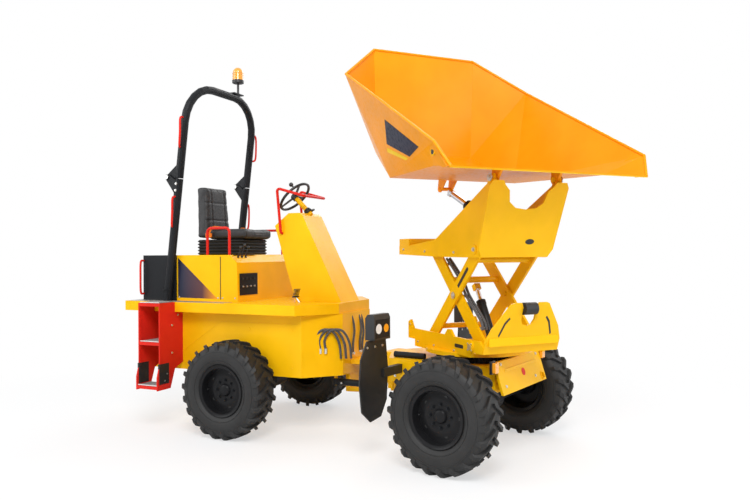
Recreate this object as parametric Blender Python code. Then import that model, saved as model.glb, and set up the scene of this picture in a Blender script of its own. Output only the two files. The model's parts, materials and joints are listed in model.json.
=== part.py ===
"""Articulated site dumper with a swivelling, high-tipping skip.

Metres, +Z up.  The machine stands on Z = 0.  Four nested frames carry the pieces:
  rear    - the operator's unit, X forward, Z axis through the articulation pin
  front   - the wheeled skip carrier, turned about the articulation pin
  swivel  - the slewing table, turned about the slew ring's centre
  lift    - the two pairs of crossed arms, then the upper frame and the skip on it
"""
import math

import bmesh
import bpy
from mathutils import Matrix, Vector

# ---------------------------------------------------------------- driving dimensions
GAP = 0.0003            # between touching solids
RUN = 0.006             # running clearance between moving solids

ARTIC = -10.3           # degrees, front unit turned to the right
SWIVEL = -31.0          # degrees, slewing table against the front unit
LIFT = 45.0             # degrees, arms above level
TIP = 28.0              # degrees, skip tipped forward

AXLE_X = 1.093          # each axle, from the articulation pin
TRACK = 1.45
TYRE_R = 0.4225
TYRE_W = 0.29
RIM_R = 0.200           # bead seat
FLANGE_R = 0.222
RIM_W = 0.25
WHEEL_SIDES = 24        # flats round a tyre and its rim, a multiple of four
HUB_FACE = 0.03         # wheel disc's inner face, outboard of the wheel's middle

BODY_W = 1.10           # rear chassis
BODY_REAR = -2.28
BODY_FRONT = -0.20
BODY_TAPER = 0.26       # length of the tapered nose
NOSE_W = 0.56
BODY_Z0 = 0.53
BODY_Z1 = 1.07
BODY_WALL = 0.03
DECK_W = 1.32
DECK_REAR = -2.34
DECK_T = 0.09

BOX_FRONT = -1.16       # seat box
BOX_REAR = -1.86
BOX_W = 0.98
BOX_H = 0.43
BASE_REAR = -2.26       # roll bar's base box

SEAT_X = -1.50
SEAT_W = 0.48
SEAT_D = 0.46

TOWER_W = 0.36          # steering console
WHEEL_HUB = (-0.85, 2.14)
WHEEL_R = 0.165
WHEEL_TUBE = 0.0125
COLUMN_TILT = 45.0
HUB_DEPTH = 0.027        # steering wheel's hub, below its rim

HOOP_Y = 0.535          # roll bar's legs
HOOP_R = 0.038
HOOP_SIDES = 12
HOOP_FOOT_X = -1.935
HOOP_LEAN = 0.128       # forward per metre of height
HOOP_TOP = 3.24
HOOP_SPLIT = 2.315
HOOP_PIN = (-1.90, 2.326)
HOOP_BEND = 0.36
BEACON_Y = 0.24

PIVOT_Z = 0.50          # articulation block and oscillation shaft
PIVOT_R = 0.065
PIN_R = 0.030
SHAFT_R = 0.045

FRAME_X0 = 0.35         # front chassis
FRAME_X1 = 1.335
FRAME_W = 0.80
FRAME_Z0 = 0.55
FRAME_Z1 = 0.74
NOSE_PLATE_W = 0.84

SLEW_X = 1.00           # slew ring's centre, from the articulation pin
RING_R = 0.325
TABLE_R = 0.42
TABLE_Z = 0.801
TABLE_T = 0.03
RAIL_W = 0.67           # outside the table's side rails
RAIL_T = 0.02
RAIL_REAR = -0.58
RAIL_FRONT = 0.56
RAIL_Z = 0.95

ARM_L = 1.02            # scissor arm, pin to pin
ARM_H = 0.11
ARM_T = 0.020
ARM_PIN_X = 0.44        # lower front pin
ARM_PIN_Z = 0.90
ARM_PIN_R = 0.020
SLIDE_GAP = 0.0005      # sliding pins to their ledges
INNER_Y = 0.230         # middle of the inner plates
OUTER_Y = 0.257         # middle of the outer plates

UPPER_Y = 0.287         # middle of the upper frame's side plates
UPPER_T = 0.020
HINGE_DX = 0.233        # tip hinge, forward of the arms' upper front pin
HINGE_DZ = 0.515        # and above it
HINGE_R = 0.022

SKIP_T = 0.008
LIFT_EYE = 0.66         # share of the inner arm's length
LIFT_FOOT = (0.24, 0.885)
TIP_FOOT = (0.0, 0.115)     # from the arms' upper front pin
TIP_EYE = (-1.05, -0.53)    # from the tip hinge, skip level
STEER_FOOT = (-0.30, -0.22)
STEER_EYE = (0.30, -0.20)   # on the front unit
STEER_Z = 0.46
CYL_PIN_R = 0.016
CYL_HALF = 0.028            # half width of a cylinder's knuckle
CYL_EAR = (0.045, 0.060)    # inner and outer face of each ear that holds a cylinder's pin
# barrel length, barrel radius, rod radius, rod's inner end, rod's head short of its pin
CYLINDERS = {
    "lift": (0.37, 0.036, 0.018, 0.195, 0.045),
    "tip": (0.62, 0.045, 0.025, 0.330, 0.090),
    "steer": (0.33, 0.030, 0.016, 0.225, 0.055),
}


# ---------------------------------------------------------------- materials
PALETTE = {             # name: colour, roughness, metallic
    "paint": ((0.86, 0.42, 0.015), 0.30, 0.0),
    "paint_red": ((0.60, 0.03, 0.02), 0.35, 0.0),
    "charcoal": ((0.025, 0.027, 0.03), 0.45, 0.0),
    "rubber": ((0.015, 0.015, 0.015), 0.80, 0.0),
    "chrome": ((0.75, 0.75, 0.75), 0.15, 1.0),
    "vinyl": ((0.02, 0.02, 0.022), 0.60, 0.0),
    "amber": ((0.90, 0.35, 0.02), 0.15, 0.0),
}


def clear_scene():
    for obj in list(bpy.data.objects):
        bpy.data.objects.remove(obj, do_unlink=True)


def make_material(name):
    colour, roughness, metallic = PALETTE[name]
    mat = bpy.data.materials.new(name)
    mat.use_nodes = True
    shader = mat.node_tree.nodes["Principled BSDF"]
    shader.inputs["Base Color"].default_value = (*colour, 1.0)
    shader.inputs["Roughness"].default_value = roughness
    shader.inputs["Metallic"].default_value = metallic
    return mat


def finish_of(name):
    return bpy.data.materials.get(name) or make_material(name)


# ---------------------------------------------------------------- building blocks
def frame(name, parent=None, location=(0.0, 0.0, 0.0), axis="Z", degrees=0.0):
    empty = bpy.data.objects.new(name, None)
    bpy.context.scene.collection.objects.link(empty)
    empty.parent = parent
    empty.location = location
    empty.rotation_euler = Matrix.Rotation(math.radians(degrees), 3, axis).to_euler()
    return empty


def add(name, bm, parent, finish=None):
    """Turn a bmesh into an object; without a finish it is a tool for a Boolean."""
    bmesh.ops.recalc_face_normals(bm, faces=bm.faces)
    mesh = bpy.data.meshes.new(name)
    bm.to_mesh(mesh)
    bm.free()
    obj = bpy.data.objects.new(name, mesh)
    bpy.context.scene.collection.objects.link(obj)
    obj.parent = parent
    if finish:
        mesh.materials.append(finish_of(finish))
    else:
        obj.hide_render = True
        obj.display_type = "WIRE"
    return obj


def boolean(base, operation, tools):
    for tool in tools:
        mod = base.modifiers.new(tool.name, "BOOLEAN")
        mod.operation = operation
        mod.solver = "EXACT"
        mod.object = tool
        tool.hide_render = True
        tool.display_type = "WIRE"
    return base


def join(base, *tools):
    return boolean(base, "UNION", tools)


def cut(base, *tools):
    return boolean(base, "DIFFERENCE", tools)


def smooth(obj, angle=35.0):
    obj.data.shade_smooth()
    obj.data.set_sharp_from_angle(angle=math.radians(angle))
    return obj


def prism(outline, low, high, plane):
    """A flat outline pushed from low to high across its plane ("XY", "XZ" or "YZ")."""
    place = {
        "XY": lambda a, b, c: (a, b, c),
        "XZ": lambda a, b, c: (a, c, b),
        "YZ": lambda a, b, c: (c, a, b),
    }[plane]
    bm = bmesh.new()
    verts = [bm.verts.new(place(a, b, low)) for a, b in outline]
    face = bm.faces.new(verts)
    top = bmesh.ops.extrude_face_region(bm, geom=[face])
    moved = [item for item in top["geom"] if isinstance(item, bmesh.types.BMVert)]
    bmesh.ops.translate(bm, verts=moved, vec=Vector(place(0.0, 0.0, high - low)))
    return bm


def block(x0, x1, y0, y1, z0, z1):
    return prism([(x0, y0), (x1, y0), (x1, y1), (x0, y1)], z0, z1, "XY")


def both_sides(outline):
    """A half outline given at +Y, front to rear or rear to front, closed by its mirror."""
    return outline + [(x, -y) for x, y in reversed(outline)]


def arc(cx, cy, radius, start, end, steps):
    points = []
    for i in range(steps + 1):
        a = math.radians(start + (end - start) * i / steps)
        points.append((cx + radius * math.cos(a), cy + radius * math.sin(a)))
    return points


def span(side, inner, outer):
    """Low and high Y of a piece that runs from inner to outer on one side."""
    return sorted((side * inner, side * outer))


def lathe(profile, segments=40):
    """Turn (along Y, radius) points, a closed loop, about the Y axis."""
    bm = bmesh.new()
    rings = []
    for along, radius in profile:
        if radius < 1e-9:
            rings.append([bm.verts.new((0.0, along, 0.0))])
            continue
        ring = []
        for i in range(segments):
            a = 2.0 * math.pi * i / segments
            ring.append(bm.verts.new((radius * math.cos(a), along, radius * math.sin(a))))
        rings.append(ring)
    for one, two in zip(rings, rings[1:] + rings[:1]):
        if len(one) == 1 and len(two) == 1:
            continue
        for i in range(segments):
            j = (i + 1) % segments
            corners = [one[i % len(one)], one[j % len(one)], two[j % len(two)], two[i % len(two)]]
            bm.faces.new(list(dict.fromkeys(corners)))
    return bm


def rod(start, end, radius, segments=20):
    """A plain round bar between two points."""
    start, end = Vector(start), Vector(end)
    along = end - start
    bm = bmesh.new()
    turn = Vector((0.0, 0.0, 1.0)).rotation_difference(along).to_matrix().to_4x4()
    place = Matrix.Translation((start + end) / 2) @ turn
    bmesh.ops.create_cone(bm, cap_ends=True, segments=segments, radius1=radius,
                          radius2=radius, depth=along.length, matrix=place)
    return bm


def rounded(points, radius, steps=5):
    """Replace each inner corner of a route with an arc."""
    route = [Vector(points[0])]
    for before, corner, after in zip(points, points[1:], points[2:]):
        before, corner, after = Vector(before), Vector(corner), Vector(after)
        one = (before - corner).normalized()
        two = (after - corner).normalized()
        half = one.angle(two) / 2
        reach = radius / math.tan(half)
        centre = corner + (one + two).normalized() * radius / math.sin(half)
        start = corner + one * reach - centre
        turn = start.rotation_difference(corner + two * reach - centre)
        for i in range(steps + 1):
            part = Matrix.Rotation(turn.angle * i / steps, 3, turn.axis)
            route.append(centre + part @ start)
    route.append(Vector(points[-1]))
    return route


def tube(route, radius, sides=12):
    """A round bar swept along a route, with flat ends."""
    bm = bmesh.new()
    rings = []
    side = None
    for i, point in enumerate(route):
        ahead = route[min(i + 1, len(route) - 1)] - point
        behind = point - route[max(i - 1, 0)]
        along = (ahead.normalized() + behind.normalized()).normalized()
        if side is None:
            side = along.orthogonal().normalized()
        side = (side - along * side.dot(along)).normalized()
        other = along.cross(side)
        ring = []
        for k in range(sides):
            a = 2.0 * math.pi * k / sides
            ring.append(bm.verts.new(point + (side * math.cos(a) + other * math.sin(a)) * radius))
        rings.append(ring)
    for one, two in zip(rings, rings[1:]):
        for k in range(sides):
            n = (k + 1) % sides
            bm.faces.new([one[k], one[n], two[n], two[k]])
    bm.faces.new(rings[0])
    bm.faces.new(rings[-1])
    return bm


# ---------------------------------------------------------------- wheels and axles
def tyre_profile():
    bead = RIM_W / 2 - 0.010
    half = TYRE_W / 2
    side = [(bead, RIM_R + GAP), (bead, FLANGE_R + 0.002), (half, FLANGE_R + 0.075),
            (half - 0.007, TYRE_R - 0.052),
            (half - 0.027, TYRE_R - 0.012), (half - 0.085, TYRE_R - 0.002)]
    return side + [(0.0, TYRE_R)] + [(-along, radius) for along, radius in reversed(side)]


def rim_profile():
    lip = RIM_W / 2
    bead = lip - 0.010 + GAP
    inner = RIM_R - 0.012
    disc = HUB_FACE + 0.015
    return [
        (disc + 0.040, 0.0), (disc + 0.040, 0.045), (disc, 0.055), (disc, inner),
        (lip, inner), (lip, FLANGE_R), (bead, FLANGE_R), (bead, RIM_R),
        (-bead, RIM_R), (-bead, FLANGE_R), (-lip, FLANGE_R), (-lip, inner),
        (HUB_FACE, inner), (HUB_FACE, 0.0),
    ]


def make_wheel(label, side, parent, axle_x):
    """side is +1 on the left, -1 on the right."""
    turn = 0.0 if side > 0 else 180.0
    hub = frame("hub_" + label, parent, (axle_x, side * TRACK / 2, TYRE_R), "Z", turn)
    smooth(add("tyre_" + label, lathe(tyre_profile(), WHEEL_SIDES), hub, "rubber"))
    smooth(add("rim_" + label, lathe(rim_profile(), WHEEL_SIDES), hub, "charcoal"))


def make_axle(name, parent, axle_x, seat_z, seat_y):
    """A live axle: two hub flanges, two tubes and the gear case, with its two seats."""
    end = TRACK / 2 + HUB_FACE - GAP
    half = [(end, 0.0), (end, 0.10), (end - 0.03, 0.10), (end - 0.05, 0.075),
            (end - 0.20, 0.055), (0.16, 0.055), (0.10, 0.100)]
    profile = half + [(-along, radius) for along, radius in reversed(half)]
    hub = frame(name + "_line", parent, (axle_x, 0.0, TYRE_R))
    axle = add(name, lathe(profile, 20), hub, "charcoal")
    seats = []
    for label, y in (("right", -seat_y), ("left", seat_y)):
        pad = block(-0.06, 0.06, y - 0.045, y + 0.045, 0.0, seat_z - GAP - TYRE_R)
        seats.append(add(name + "_seat_" + label, pad, hub))
    return smooth(join(axle, *seats))


# ---------------------------------------------------------------- rear unit
def make_rear_chassis(rear):
    half, nose = BODY_W / 2, NOSE_W / 2
    taper = BODY_FRONT - BODY_TAPER
    wall = BODY_WALL
    outline = both_sides([(BODY_REAR, half), (taper, half), (BODY_FRONT, nose)])
    inside = both_sides([(BODY_REAR + wall, half - wall), (taper - wall / 2, half - wall),
                         (BODY_FRONT - 2 * wall, nose)])
    body = add("rear_chassis", prism(outline, BODY_Z0, BODY_Z1, "XY"), rear, "paint")
    cut(body, add("rear_chassis_well", prism(inside, BODY_Z0 + wall, BODY_Z1 + wall, "XY"), rear))
    lug = 0.035
    low = PIVOT_Z - 0.10 - RUN - lug
    high = PIVOT_Z + 0.10 + RUN
    reach = arc(0.0, 0.0, PIVOT_R + 0.015, -90.0, 90.0, 10)
    ears = [(BODY_FRONT - 0.04, -0.13)] + reach + [(BODY_FRONT - 0.04, 0.13)]
    post = block(BODY_FRONT - 0.05, BODY_FRONT - 0.01, -0.128, 0.128, low + 0.002, high + lug - 0.002)
    join(body,
         add("steer_foot_pin", steer_pin(STEER_FOOT, BODY_Z0 + 0.01), rear),
         add("nose_post", post, rear),
         add("lug_low", prism(ears, low, low + lug, "XY"), rear),
         add("lug_high", prism(ears, high, high + lug, "XY"), rear),
         add("artic_pin", rod((0, 0, low - 0.02), (0, 0, high + lug + 0.02), PIN_R), rear))
    return body


def steer_pin(place, top):
    return rod((*place, STEER_Z - CYL_HALF - 0.004), (*place, top), CYL_PIN_R, 16)


def make_deck(rear):
    half = DECK_W / 2
    outline = both_sides([(DECK_REAR, half), (BODY_FRONT - BODY_TAPER, half),
                          (BODY_FRONT - 0.02, NOSE_W / 2 + 0.03)])
    z0 = BODY_Z1 + GAP
    return add("deck", prism(outline, z0, z0 + DECK_T, "XY"), rear, "paint")


DECK_Z = BODY_Z1 + GAP + DECK_T


def make_engine(rear):
    z0 = BODY_Z0 + BODY_WALL + GAP
    bm = block(BODY_REAR + 0.18, BOX_FRONT - 0.20, -0.24, 0.24, z0, BODY_Z1 - 0.02)
    return add("engine_block", bm, rear, "charcoal")


def make_seat_box(rear):
    z0 = DECK_Z + GAP
    top = z0 + BOX_H
    outline = [(BOX_REAR, z0), (BOX_REAR, top), (BOX_FRONT - 0.09, top),
               (BOX_FRONT - 0.01, top - 0.07), (BOX_FRONT, z0)]
    return add("seat_box", prism(outline, -BOX_W / 2, BOX_W / 2, "XZ"), rear, "paint")


SEAT_BOX_TOP = DECK_Z + GAP + BOX_H


def hoop_x(z):
    return HOOP_FOOT_X + (z - DECK_Z) * HOOP_LEAN


def make_rops_base(rear):
    z0 = DECK_Z + GAP
    box = block(BASE_REAR, BOX_REAR - GAP, -HOOP_Y + 0.03, HOOP_Y - 0.03, z0, SEAT_BOX_TOP)
    base = add("rops_base", box, rear, "charcoal")
    top = HOOP_SPLIT - RUN
    px, pz = HOOP_PIN
    tools = []
    for label, y in (("right", -HOOP_Y), ("left", HOOP_Y)):
        low = z0 + 0.01
        leg = tube([Vector((hoop_x(low), y, low)), Vector((hoop_x(top), y, top))], HOOP_R, HOOP_SIDES)
        tools.append(add("leg_" + label, leg, rear))
        web = block(hoop_x(z0) - 0.03, hoop_x(z0) + 0.03, y - 0.035, y + 0.035, z0, z0 + 0.10)
        tools.append(add("leg_foot_" + label, web, rear))
        for part, off in (("a", -0.032), ("b", 0.032)):
            cheek = [(hoop_x(pz - 0.17), pz - 0.17), (hoop_x(top), top - 0.03), (px + 0.02, pz + 0.025),
                     (px - 0.02, pz + 0.025), (px - 0.025, pz - 0.01)]
            name = "cheek_" + part + "_" + label
            tools.append(add(name, prism(cheek, y + off - 0.005, y + off + 0.005, "XZ"), rear))
        pin = rod((px, y - 0.042, pz), (px, y + 0.042, pz), 0.012, 12)
        tools.append(add("fold_pin_" + label, pin, rear))
    return smooth(join(base, *tools))


def make_rops_hoop(rear):
    px, pz = HOOP_PIN
    fold = frame("fold_axis", rear, (px, 0.0, pz))

    def local(y, z):
        return (hoop_x(z) - px, y, z - pz)

    top = HOOP_TOP - HOOP_R
    corners = [local(-HOOP_Y, HOOP_SPLIT), local(-HOOP_Y, top), local(HOOP_Y, top),
               local(HOOP_Y, HOOP_SPLIT)]
    hoop = add("rops_hoop", tube(rounded(corners, HOOP_BEND, 6), HOOP_R, HOOP_SIDES), fold, "charcoal")
    tools = []
    holes = []
    for label, y in (("right", -HOOP_Y), ("left", HOOP_Y)):
        lx = hoop_x(HOOP_SPLIT) - px
        lz = HOOP_SPLIT - pz
        tongue = [(lx, lz + 0.004), (lx + 0.02, lz + 0.12), (lx - 0.02, lz + 0.12),
                  (-0.02, 0.020), (-0.02, -0.016), (0.02, -0.016)]
        tools.append(add("tongue_" + label, prism(tongue, y - 0.02, y + 0.02, "XZ"), fold))
        holes.append(add("tongue_hole_" + label, rod((0, y - 0.03, 0), (0, y + 0.03, 0), 0.013, 12), fold))
    join(hoop, *tools)
    return smooth(cut(hoop, *holes)), fold


def make_beacon(fold):
    """Plate, stalk and dome on the left shoulder of the roll bar."""
    px, pz = HOOP_PIN
    x = hoop_x(HOOP_TOP - HOOP_R)
    flat = HOOP_R * math.cos(math.pi / HOOP_SIDES)
    top = HOOP_TOP - HOOP_R + flat + 2 * GAP
    place = frame("beacon_seat", fold, (x - px, BEACON_Y, top - pz), "X", 90.0)
    profile = [(0.002, 0.0), (0.002, 0.016), (0.12, 0.014), (0.13, 0.055), (0.16, 0.060), (0.24, 0.056),
               (0.275, 0.040), (0.29, 0.0)]
    beacon = add("beacon", lathe(profile, 16), place, "amber")
    plate = block(-0.035, 0.035, 0.0, 0.012, -0.05, 0.11)
    return smooth(join(beacon, add("beacon_plate", plate, place)))


def make_seat(rear):
    x0, x1 = SEAT_X - SEAT_D / 2, SEAT_X + SEAT_D / 2
    half = SEAT_W / 2
    z0 = SEAT_BOX_TOP + GAP
    z1 = z0 + 0.15
    z2 = z1 + GAP
    z3 = z2 + 0.105
    back_x = x0 - 0.13
    add("seat_bellows", block(back_x, x1 - 0.02, -half + 0.03, half - 0.03, z0, z1), rear, "rubber")
    cushion = block(x0, x1 + 0.03, -half, half, z2, z3)
    add("seat_cushion", cushion, rear, "vinyl")
    side = [(back_x + 0.01, z2), (x0 - GAP, z2), (x0 - GAP, z3), (x0 - 0.03, z2 + 0.54),
            (back_x - 0.02, z2 + 0.54), (back_x - 0.03, z2 + 0.40)]
    add("seat_back", prism(side, -half + 0.02, half - 0.02, "XZ"), rear, "vinyl")


def make_console(rear):
    z0 = DECK_Z + GAP
    half = TOWER_W / 2
    side = [(-0.74, z0), (-0.96, 1.86), (-0.81, 1.975), (-0.69, 1.975), (-0.66, 1.95), (-0.265, z0)]
    tower = add("console", prism(side, -half, half, "XZ"), rear, "paint")
    hx, hz = WHEEL_HUB
    t = math.radians(COLUMN_TILT)
    near, far = HUB_DEPTH + GAP, 0.25
    column = rod((hx + near * math.sin(t), 0, hz - near * math.cos(t)),
                 (hx + far * math.sin(t), 0, hz - far * math.cos(t)), 0.024, 16)
    return join(tower, add("column", column, rear))


def make_steering_wheel(rear):
    hx, hz = WHEEL_HUB
    axis = frame("steering_axis", rear, (hx, 0.0, hz), "Y", -COLUMN_TILT)
    section = [(y, WHEEL_R + x) for x, y in arc(0.0, 0.0, WHEEL_TUBE, 0, 300, 5)]
    ring = lathe(section, 24)
    bmesh.ops.rotate(ring, verts=ring.verts, cent=(0, 0, 0), matrix=Matrix.Rotation(math.pi / 2, 3, "X"))
    wheel = add("steering_wheel", ring, axis, "charcoal")
    tools = [add("wheel_hub", rod((0, 0, -HUB_DEPTH), (0, 0, 0.018), 0.035, 16), axis)]
    for i in range(3):
        a = math.radians(90 + 120 * i)
        out = (WHEEL_R * math.cos(a), WHEEL_R * math.sin(a), 0.0)
        tools.append(add("spoke_%d" % i, rod((0, 0, 0), out, 0.009, 8), axis))
    return smooth(join(wheel, *tools))


def make_guard_rail(rear):
    r = 0.013
    y = TOWER_W / 2 + 0.025
    foot = TOWER_W / 2 + GAP
    points = [(-0.88, -foot, 1.79), (-0.88, -y, 1.79), (-0.92, -y, 2.21), (-0.64, -y, 2.13), (-0.64, y, 2.13),
              (-0.92, y, 2.21), (-0.88, y, 1.79), (-0.88, foot, 1.79)]
    return smooth(add("guard_rail", tube(rounded(points, 0.022, 3), r, 8), rear, "paint_red"))


def make_seat_rails(rear):
    z0 = SEAT_BOX_TOP + GAP
    for label, y in (("right", -0.45), ("left", 0.45)):
        points = [(-1.53, y, z0), (-1.53, y, z0 + 0.25), (-1.28, y, z0 + 0.25), (-1.28, y, z0)]
        smooth(add("seat_rail_" + label, tube(rounded(points, 0.04, 3), 0.013, 8), rear, "paint_red"))


LADDER = (                # tread: height, inner reach, outer reach from the middle
    ("tread_high", BODY_Z1 + GAP + DECK_T - 0.03, DECK_W / 2 + GAP, 0.86),
    ("tread_mid", 0.78, 0.60, 0.86),
    ("tread_low", 0.39, 0.72, 0.89),
)


def make_ladders(rear):
    x0, x1 = -1.99, -1.74
    wall = 0.012
    inner = BODY_W / 2 + GAP
    edge = DECK_W / 2 + GAP
    for label, side in (("right", -1), ("left", 1)):
        plate = [(inner, 0.60), (inner, BODY_Z1 - 0.001), (edge, BODY_Z1 - 0.001), (edge, DECK_Z),
                 (0.86, DECK_Z), (0.86, 0.60), (0.89, 0.50), (0.89, 0.38), (0.72, 0.38), (0.66, 0.55)]
        plate = [(side * y, z) for y, z in plate]
        ladder = add("ladder_" + label, prism(plate, x0, x0 + wall, "YZ"), rear, "paint_red")
        tools = [add("ladder_cheek_" + label, prism(plate, x1 - wall, x1, "YZ"), rear)]
        for name, z, y0, y1 in LADDER:
            lo, hi = sorted((side * y0, side * y1))
            tools.append(add(name + "_" + label, block(x0 + 0.001, x1 - 0.001, lo, hi, z, z + 0.0295), rear))
        join(ladder, *tools)


# ---------------------------------------------------------------- articulation and front unit
def make_pivot_block(front):
    hub = prism(arc(0, 0, PIVOT_R, 0, 350, 35), PIVOT_Z - 0.10, PIVOT_Z + 0.10, "XY")
    body = add("pivot_block", hub, front, "charcoal")
    shaft = rod((0.02, 0, PIVOT_Z), (0.30, 0, PIVOT_Z), SHAFT_R, 24)
    collar = rod((0.265, 0, PIVOT_Z), (0.29, 0, PIVOT_Z), SHAFT_R + 0.02, 24)
    hole = rod((0, 0, PIVOT_Z - 0.15), (0, 0, PIVOT_Z + 0.15), PIN_R + 0.001, 24)
    join(body, add("shaft", shaft, front), add("shaft_collar", collar, front))
    return smooth(cut(body, add("pivot_hole", hole, front)))


def make_front_chassis(roll):
    z = -PIVOT_Z
    half = FRAME_W / 2
    z0, z1 = FRAME_Z0 + z, FRAME_Z1 + z
    outline = both_sides([(0.15, 0.12), (0.24, 0.12), (FRAME_X0 + 0.05, half), (FRAME_X1 + 0.01, half)])
    well = block(FRAME_X0 + 0.10, FRAME_X1 - 0.08, -half + 0.05, half - 0.05, z0 - 0.02, z1 - 0.02)
    body = add("front_chassis", prism(outline, z0, z1, "XY"), roll, "paint")
    bearing = block(0.15, 0.26, -0.085, 0.085, -0.085, z0 + 0.02)
    side = [(FRAME_X1, z1 + 0.04), (FRAME_X1 + 0.02, z1 + 0.04), (FRAME_X1 + 0.092, z0 - 0.005),
            (FRAME_X1 + 0.072, z0 - 0.005)]
    plate = prism(side, -NOSE_PLATE_W / 2, NOSE_PLATE_W / 2, "XZ")
    filler = block(FRAME_X1 - 0.02, FRAME_X1 + 0.045, -0.30, 0.30, z0, z1 - 0.02)
    hole = rod((0.13, 0, 0), (0.255, 0, 0), SHAFT_R + 0.001, 24)
    pocket = rod((0.25, 0, 0), (0.32, 0, 0), SHAFT_R + 0.02 + RUN, 24)
    tow = rod((FRAME_X1 - 0.1, 0.36, 0.085), (FRAME_X1 + 0.2, 0.36, 0.085), 0.026, 20)
    pin = steer_pin(STEER_EYE, FRAME_Z0 + 0.01)
    bmesh.ops.translate(pin, verts=pin.verts, vec=(0.0, 0.0, z))
    join(body, add("shaft_bearing", bearing, roll), add("nose_plate", plate, roll),
         add("nose_filler", filler, roll), add("steer_eye_pin", pin, roll))
    return cut(body, add("front_well", well, roll), add("shaft_hole", hole, roll),
               add("collar_pocket", pocket, roll), add("tow_hole", tow, roll))


def make_mudguards(roll):
    """Rubber flap behind each front wheel, its post and the headlamp on top."""
    z = -PIVOT_Z
    for label, side in (("right", -1), ("left", 1)):
        flap = [(0.61, 0.93), (0.58, 0.70), (0.60, 0.45), (0.68, 0.33), (0.82, 0.31), (0.93, 0.40),
                (0.96, 0.62), (0.94, 0.80), (0.86, 0.93)]
        flap = [(side * y, h + z) for y, h in flap]
        guard = add("mudflap_" + label, prism(flap, 0.50, 0.512, "YZ"), roll, "rubber")
        lo, hi = sorted((side * (FRAME_W / 2 + GAP), side * 0.66))
        arm = block(0.485, 0.53, lo, hi, 0.63 + z, 0.70 + z)
        join(guard, add("mudflap_arm_" + label, arm, roll))
        lo, hi = sorted((side * 0.60, side * 0.82))
        lamp = block(0.46, 0.55, lo, hi, 0.93 + GAP + z, 1.13 + z)
        add("headlamp_" + label, lamp, roll, "charcoal")
        lo, hi = sorted((side * (NOSE_PLATE_W / 2 + GAP), side * (NOSE_PLATE_W / 2 + 0.07)))
        low = block(FRAME_X1 + 0.005, FRAME_X1 + 0.06, lo, hi, 0.70 + z, 0.80 + z)
        add("indicator_" + label, low, roll, "amber")


def make_slew_ring(roll):
    z0 = FRAME_Z1 + GAP - PIVOT_Z
    z1 = TABLE_Z - PIVOT_Z - 0.0005
    ring = rod((SLEW_X, 0, z0), (SLEW_X, 0, z1), RING_R, 40)
    add("slew_ring", ring, roll, "charcoal")
    r = 0.025
    z = FRAME_Z1 + GAP + r - PIVOT_Z
    add("slew_cylinder", rod((0.42, -0.34, z), (0.70, -0.33, z), r, 16), roll, "charcoal")


# ---------------------------------------------------------------- slewing table
def make_table(swivel):
    z0, z1 = TABLE_Z, TABLE_Z + TABLE_T
    half = RAIL_W / 2
    disc = arc(0.0, 0.0, TABLE_R, 0.0, 350.0, 35)
    table = add("swivel_frame", prism(disc, z0, z1, "XY"), swivel, "paint")
    over = TYRE_R * 2 + 0.015
    reach = math.sqrt((TRACK / 2 - TYRE_W / 2 - 0.012) ** 2 - half ** 2)
    tail = both_sides([(-reach, half), (0.25, half)])
    tools = [add("table_tail", prism(tail, z0, z1, "XY"), swivel)]
    side = [(-reach, z1 - 0.01), (-reach, over), (RAIL_REAR, over), (RAIL_REAR, z1 + 0.17),
            (RAIL_REAR + 0.04, z1 + 0.19),
            (RAIL_REAR + 0.09, RAIL_Z), (0.05, RAIL_Z), (0.10, RAIL_Z + 0.05), (0.14, RAIL_Z + 0.05),
            (0.19, RAIL_Z), (RAIL_FRONT, RAIL_Z), (RAIL_FRONT + 0.05, RAIL_Z - 0.04),
            (RAIL_FRONT + 0.03, over),
            (reach, over), (reach - 0.02, z1 - 0.01)]
    for label, s in (("right", -1), ("left", 1)):
        tools.append(add("rail_" + label, prism(side, *span(s, half - RAIL_T, half), "XZ"), swivel))
        top = ARM_PIN_Z - ARM_PIN_R - SLIDE_GAP
        lo, hi = span(s, half - RAIL_T - 0.035, half - RAIL_T + 0.005)
        ledge = block(RAIL_REAR + 0.01, -0.12, lo, hi, top - 0.02, top)
        tools.append(add("ledge_" + label, ledge, swivel))
    pin = rod((ARM_PIN_X, -half + 0.005, ARM_PIN_Z), (ARM_PIN_X, half - 0.005, ARM_PIN_Z), ARM_PIN_R, 20)
    tools.append(add("arm_pin", pin, swivel))
    fork = 0.24
    lean = 0.35
    x0 = RAIL_FRONT + 0.01
    plate_half = [(fork + 0.09, over), (fork + 0.09, RAIL_Z), (0.29, 1.05), (0.165, 1.225),
                  (0.14, 1.235), (0.08, 1.235), (0.062, 1.20), (0.060, 1.11)]
    cup = [(0.042, 1.075), (0.0, 1.062)]
    shape = plate_half + cup + [(-y, z) for y, z in reversed(plate_half + cup[:1])]
    plate = prism(shape, 0.0, 0.02, "YZ")
    for vert in plate.verts:
        vert.co.x += x0 + (vert.co.z - z1) * lean
    tools.append(add("fork_plate", plate, swivel))
    beam = block(x0 + 0.02, x0 + 0.075, -half + 0.03, half - 0.03, RAIL_Z - 0.03, RAIL_Z + 0.03)
    tools.append(add("cross_beam", beam, swivel))
    fx, fz = LIFT_FOOT
    ear = [(fx - 0.05, z1 - 0.01), (fx - 0.03, fz + 0.03), (fx + 0.03, fz + 0.03), (fx + 0.05, z1 - 0.01)]
    join(table, *tools, *clevis("lift", swivel, LIFT_FOOT, ear))
    roller_x = x0 + (1.19 - z1) * lean + 0.01
    roller = lathe([(-0.061, 0.0), (-0.061, 0.012), (-0.054, 0.012), (-0.054, 0.045), (0.054, 0.045),
                    (0.054, 0.012), (0.061, 0.012), (0.061, 0.0)], 20)
    seat = frame("roller_seat", swivel, (roller_x, 0.0, 1.19))
    smooth(add("bump_roller", roller, seat, "rubber"))
    return table


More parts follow.
